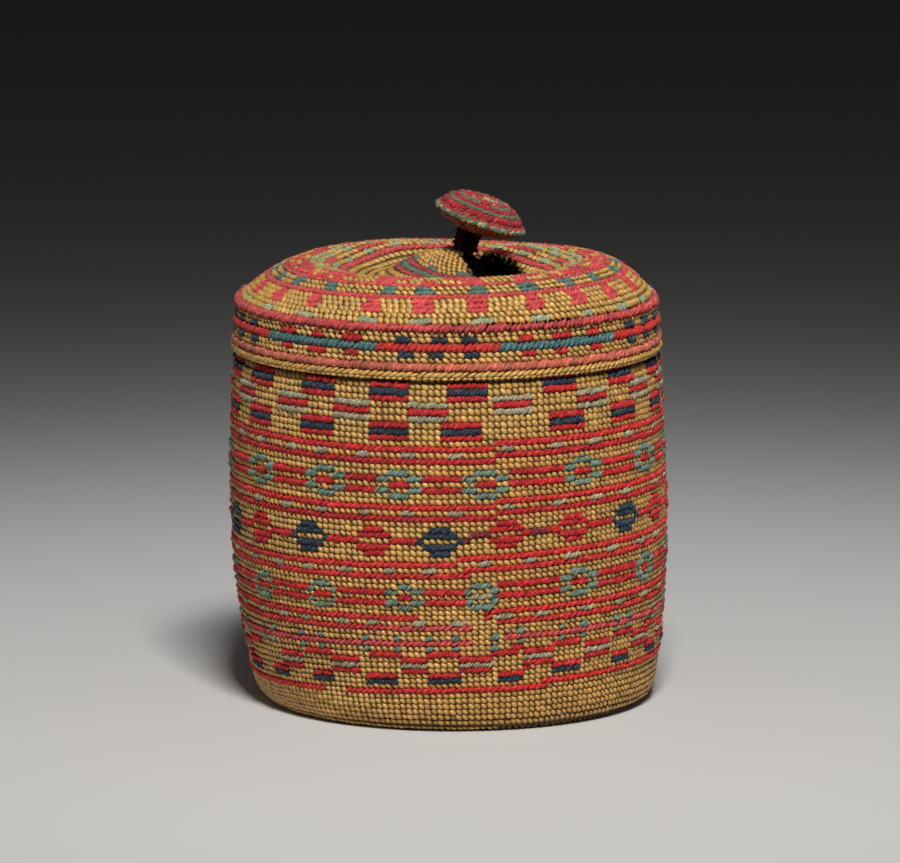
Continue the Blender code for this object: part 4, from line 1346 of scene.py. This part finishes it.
# %% Stem finish
NEAR_BLACK, MAROON = (0.006, 0.003, 0.004, 1.0), (0.130, 0.011, 0.030, 1.0)
dark = Finish("dark_yarn", Specular_IOR_Level=0.2)
grain = dark.noise(dark.place(), 2600.0, 3.0)
blotch = dark.noise(dark.place(), 420.0)
dark_colour = dark.blended((blotch - 0.46) * 7.0, NEAR_BLACK, MAROON)
stem_finish = dark.done(dark.shaded(dark_colour, 0.6 + 0.9 * grain), 0.8 + 0.15 * grain, grain, 0.0002)


# %% Tube along a path
def tube(name, path, radii, sides, nodes):
    """Closed tube on the lid: a circle carried along a path, square to it, its ends drawn to a point."""
    ahead = np.gradient(path, axis=0)
    ahead /= np.linalg.norm(ahead, axis=1, keepdims=True)
    guide = np.where(np.abs(ahead[:, 2:]) > 0.9, (1.0, 0.0, 0.0), (0.0, 0.0, 1.0))
    one = np.cross(guide, ahead)
    one /= np.linalg.norm(one, axis=1, keepdims=True)
    two = np.cross(ahead, one)
    a = 2.0 * math.pi * np.arange(sides) / sides
    circle = one[:, None] * np.cos(a)[None, :, None] + two[:, None] * np.sin(a)[None, :, None]
    points = (path[:, None] + circle * radii[:, None, None]).transpose(1, 0, 2)
    points = np.vstack([points.reshape(-1, 3), path[0], path[-1]])
    piece = make_piece(name, points, grid_faces(sides, len(path), True), end_caps(sides, len(path)))
    piece.data.materials.append(stem_finish)
    dress(piece, "lid", nodes)


# %% Yarn wound on the stem
WINDS, WIND_STEPS, WIND_START, WIND_RISE = 6, 26, 0.0009, 0.0078
WIND_SPACE, FOOT_SPREAD, FOOT_SHARE, HEAD_SPREAD = 0.00055, 0.0006, 0.16, 0.0008
climb = np.linspace(0.0, 1.0, WINDS * WIND_STEPS)
angle = climb * float(WINDS) * 2.0 * math.pi
spread = FOOT_SPREAD * np.clip(1.0 - climb / FOOT_SHARE, 0.0, 1.0) ** 2
reach = STEM_RADIUS + WIND_SPACE + spread + HEAD_SPREAD * climb**2
helix = np.stack([reach * np.cos(angle), reach * np.sin(angle), WIND_START + WIND_RISE * climb], -1)
swell = (0.62 + 0.05 * np.sin(9.0 * angle) + 0.04 * np.sin(2.3 * angle)) * MM
tube("stem_wrap", carried(helix, stem_axes), swell, 9, ["stem_wrapping"])
core_rise = np.array([0.0, 0.0008, 0.002, 0.006, 0.0098])
core_line = carried(core_rise[:, None] * (0.0, 0.0, 1.0), stem_axes)
tube("stem_core", core_line, np.array([3.3, 3.1, 2.7, 2.9, 3.4]) * MM, 24, ["knob_stem"])

# %% Loose fibres
FIBRE_POINTS, FIBRE_TIP = 12, 0.3


def loose_end(name, corners, thick):
    """Thin fibre along a curve from the first corner, bent toward the second, to the third."""
    start, control, end = np.array(corners)
    t = np.linspace(0.0, 1.0, FIBRE_POINTS)[:, None]
    path = (1.0 - t) ** 2 * start + 2.0 * t * (1.0 - t) * control + t * t * end
    tube(name, carried(path, stem_axes), np.linspace(thick, FIBRE_TIP * thick, FIBRE_POINTS), 5, [])


HIGH_CORNERS = ((-0.0030, -0.001, 0.0078), (-0.0055, -0.0012, 0.0076), (-0.0096, -0.001, 0.0061))
LOW_CORNERS = ((-0.0032, -0.0012, 0.0062), (-0.0058, -0.0014, 0.0047), (-0.0063, -0.0012, -0.0006))
loose_end("loose_fibre_high", HIGH_CORNERS, 0.00016)
loose_end("loose_fibre_low", LOW_CORNERS, 0.00013)

# %% [markdown]
# ## Fuzz
# Wool has a halo: single hairs stand off every strand and catch the light. Some twenty thousand short,
# bent, three-sided hairs grow from random places on the wool stitches. Each has its stitch's own colour,
# a quarter lighter as a painted sheen for the light they catch.

# %% Loose wool hairs
HAIR_POINTS, HAIR_THICK, HAIR_ROOT = 7, 0.020, 0.1
HAIR_SHORT, HAIR_LONG, HAIR_LIGHT = 0.25, 0.62, 1.25


def unit(vectors):
    """The same directions with length one."""
    return vectors / np.linalg.norm(vectors, axis=1, keepdims=True)


def comb(name, body, hairs):
    """Hairs on wool stitches: a root ring, a middle ring bent aside and a tip, all from arrays."""
    st = gather(sewn[body])
    pick = chance.choice(np.nonzero(st["wool"])[0], hairs)
    at, row, up, out, tint = (st[k][pick] for k in ("at", "row", "up", "out", "tint"))
    half, rise, slope, stand, sink = (st[k][pick, None] for k in ("half", "rise", "slope", "stand", "sink"))
    u, v = chance.uniform(-0.75, 0.75, (2, hairs, 1))
    cap = np.sqrt(np.clip(1.0 - u * u - v * v, 0.05, 1.0))
    root = at + row * half * u + up * (rise * v + slope * half * u)
    root = root + out * (stand * cap - sink - HAIR_ROOT * MM)
    sideways = chance.normal(0.0, 0.7, (2, hairs, 1))
    first = unit(out + row * (u + sideways[0]) + up * (1.2 * v + sideways[1]))
    bend = row * chance.normal(0.0, 1.0, (hairs, 1)) + up * chance.normal(0.0, 1.0, (hairs, 1))
    later = unit(first + 0.9 * bend)
    length = chance.uniform(HAIR_SHORT, HAIR_LONG, (hairs, 1)) * MM
    middle = root + first * length
    tip = middle + later * length

    one = unit(np.cross(first, row + 0.1 * up))
    two = np.cross(first, one)
    a = 2.0 * math.pi * np.arange(3) / 3
    circle = one[:, None] * np.cos(a)[:, None] + two[:, None] * np.sin(a)[:, None]
    thick = HAIR_THICK * MM
    low_ring, high_ring = root[:, None] + thick * circle, middle[:, None] + 0.8 * thick * circle
    points = np.concatenate([low_ring, high_ring, tip[:, None]], 1)
    start = HAIR_POINTS * np.arange(hairs)[:, None, None]
    quads = np.array([[0, 1, 4, 3], [1, 2, 5, 4], [2, 0, 3, 5]]) + start
    ends = np.array([[3, 4, 6], [4, 5, 6], [5, 3, 6], [2, 1, 0]]) + start
    piece = make_piece(name, points.reshape(-1, 3), quads.reshape(-1, 4), ends.reshape(-1, 3))

    # Painted sheen: each hair is a quarter lighter than its stitch.
    shade = np.concatenate([HAIR_LIGHT * tint, np.ones((hairs, 1))], -1)
    write_points(piece, "tint", "FLOAT_COLOR", np.repeat(shade, HAIR_POINTS, 0))
    strand_place = chance.uniform(0.0, 40.0, (hairs, 3))
    write_points(piece, "strand", "FLOAT_VECTOR", np.repeat(strand_place, HAIR_POINTS, 0))
    side = math.ceil(math.sqrt(hairs))
    corner = np.stack([np.arange(hairs) % side, np.arange(hairs) // side], -1)[:, None]
    square, arrow = ((0, 0), (1, 0), (1, 1), (0, 1)), ((0, 0), (1, 0), (0.5, 1))
    quad_spots = np.array([[j + x, y] for j in range(3) for x, y in square]) / 3.0 * (1.0, 0.9)
    end_spots = np.array([[j + x, y] for j in range(4) for x, y in arrow]) / (4.0, 3.0) + (0.0, 0.5)
    places = [((corner + 0.1 + 0.8 * spots) / side).reshape(-1, 2) for spots in (quad_spots, end_spots)]
    write_map(piece, "OFBake", np.vstack(places))
    piece.data.materials.append(wool_finish)
    print(f"{name}: {hairs} hairs")
    dress(piece, body, [])


comb("basket_fuzz", "basket", 14000)
comb("lid_fuzz", "lid", 8000)
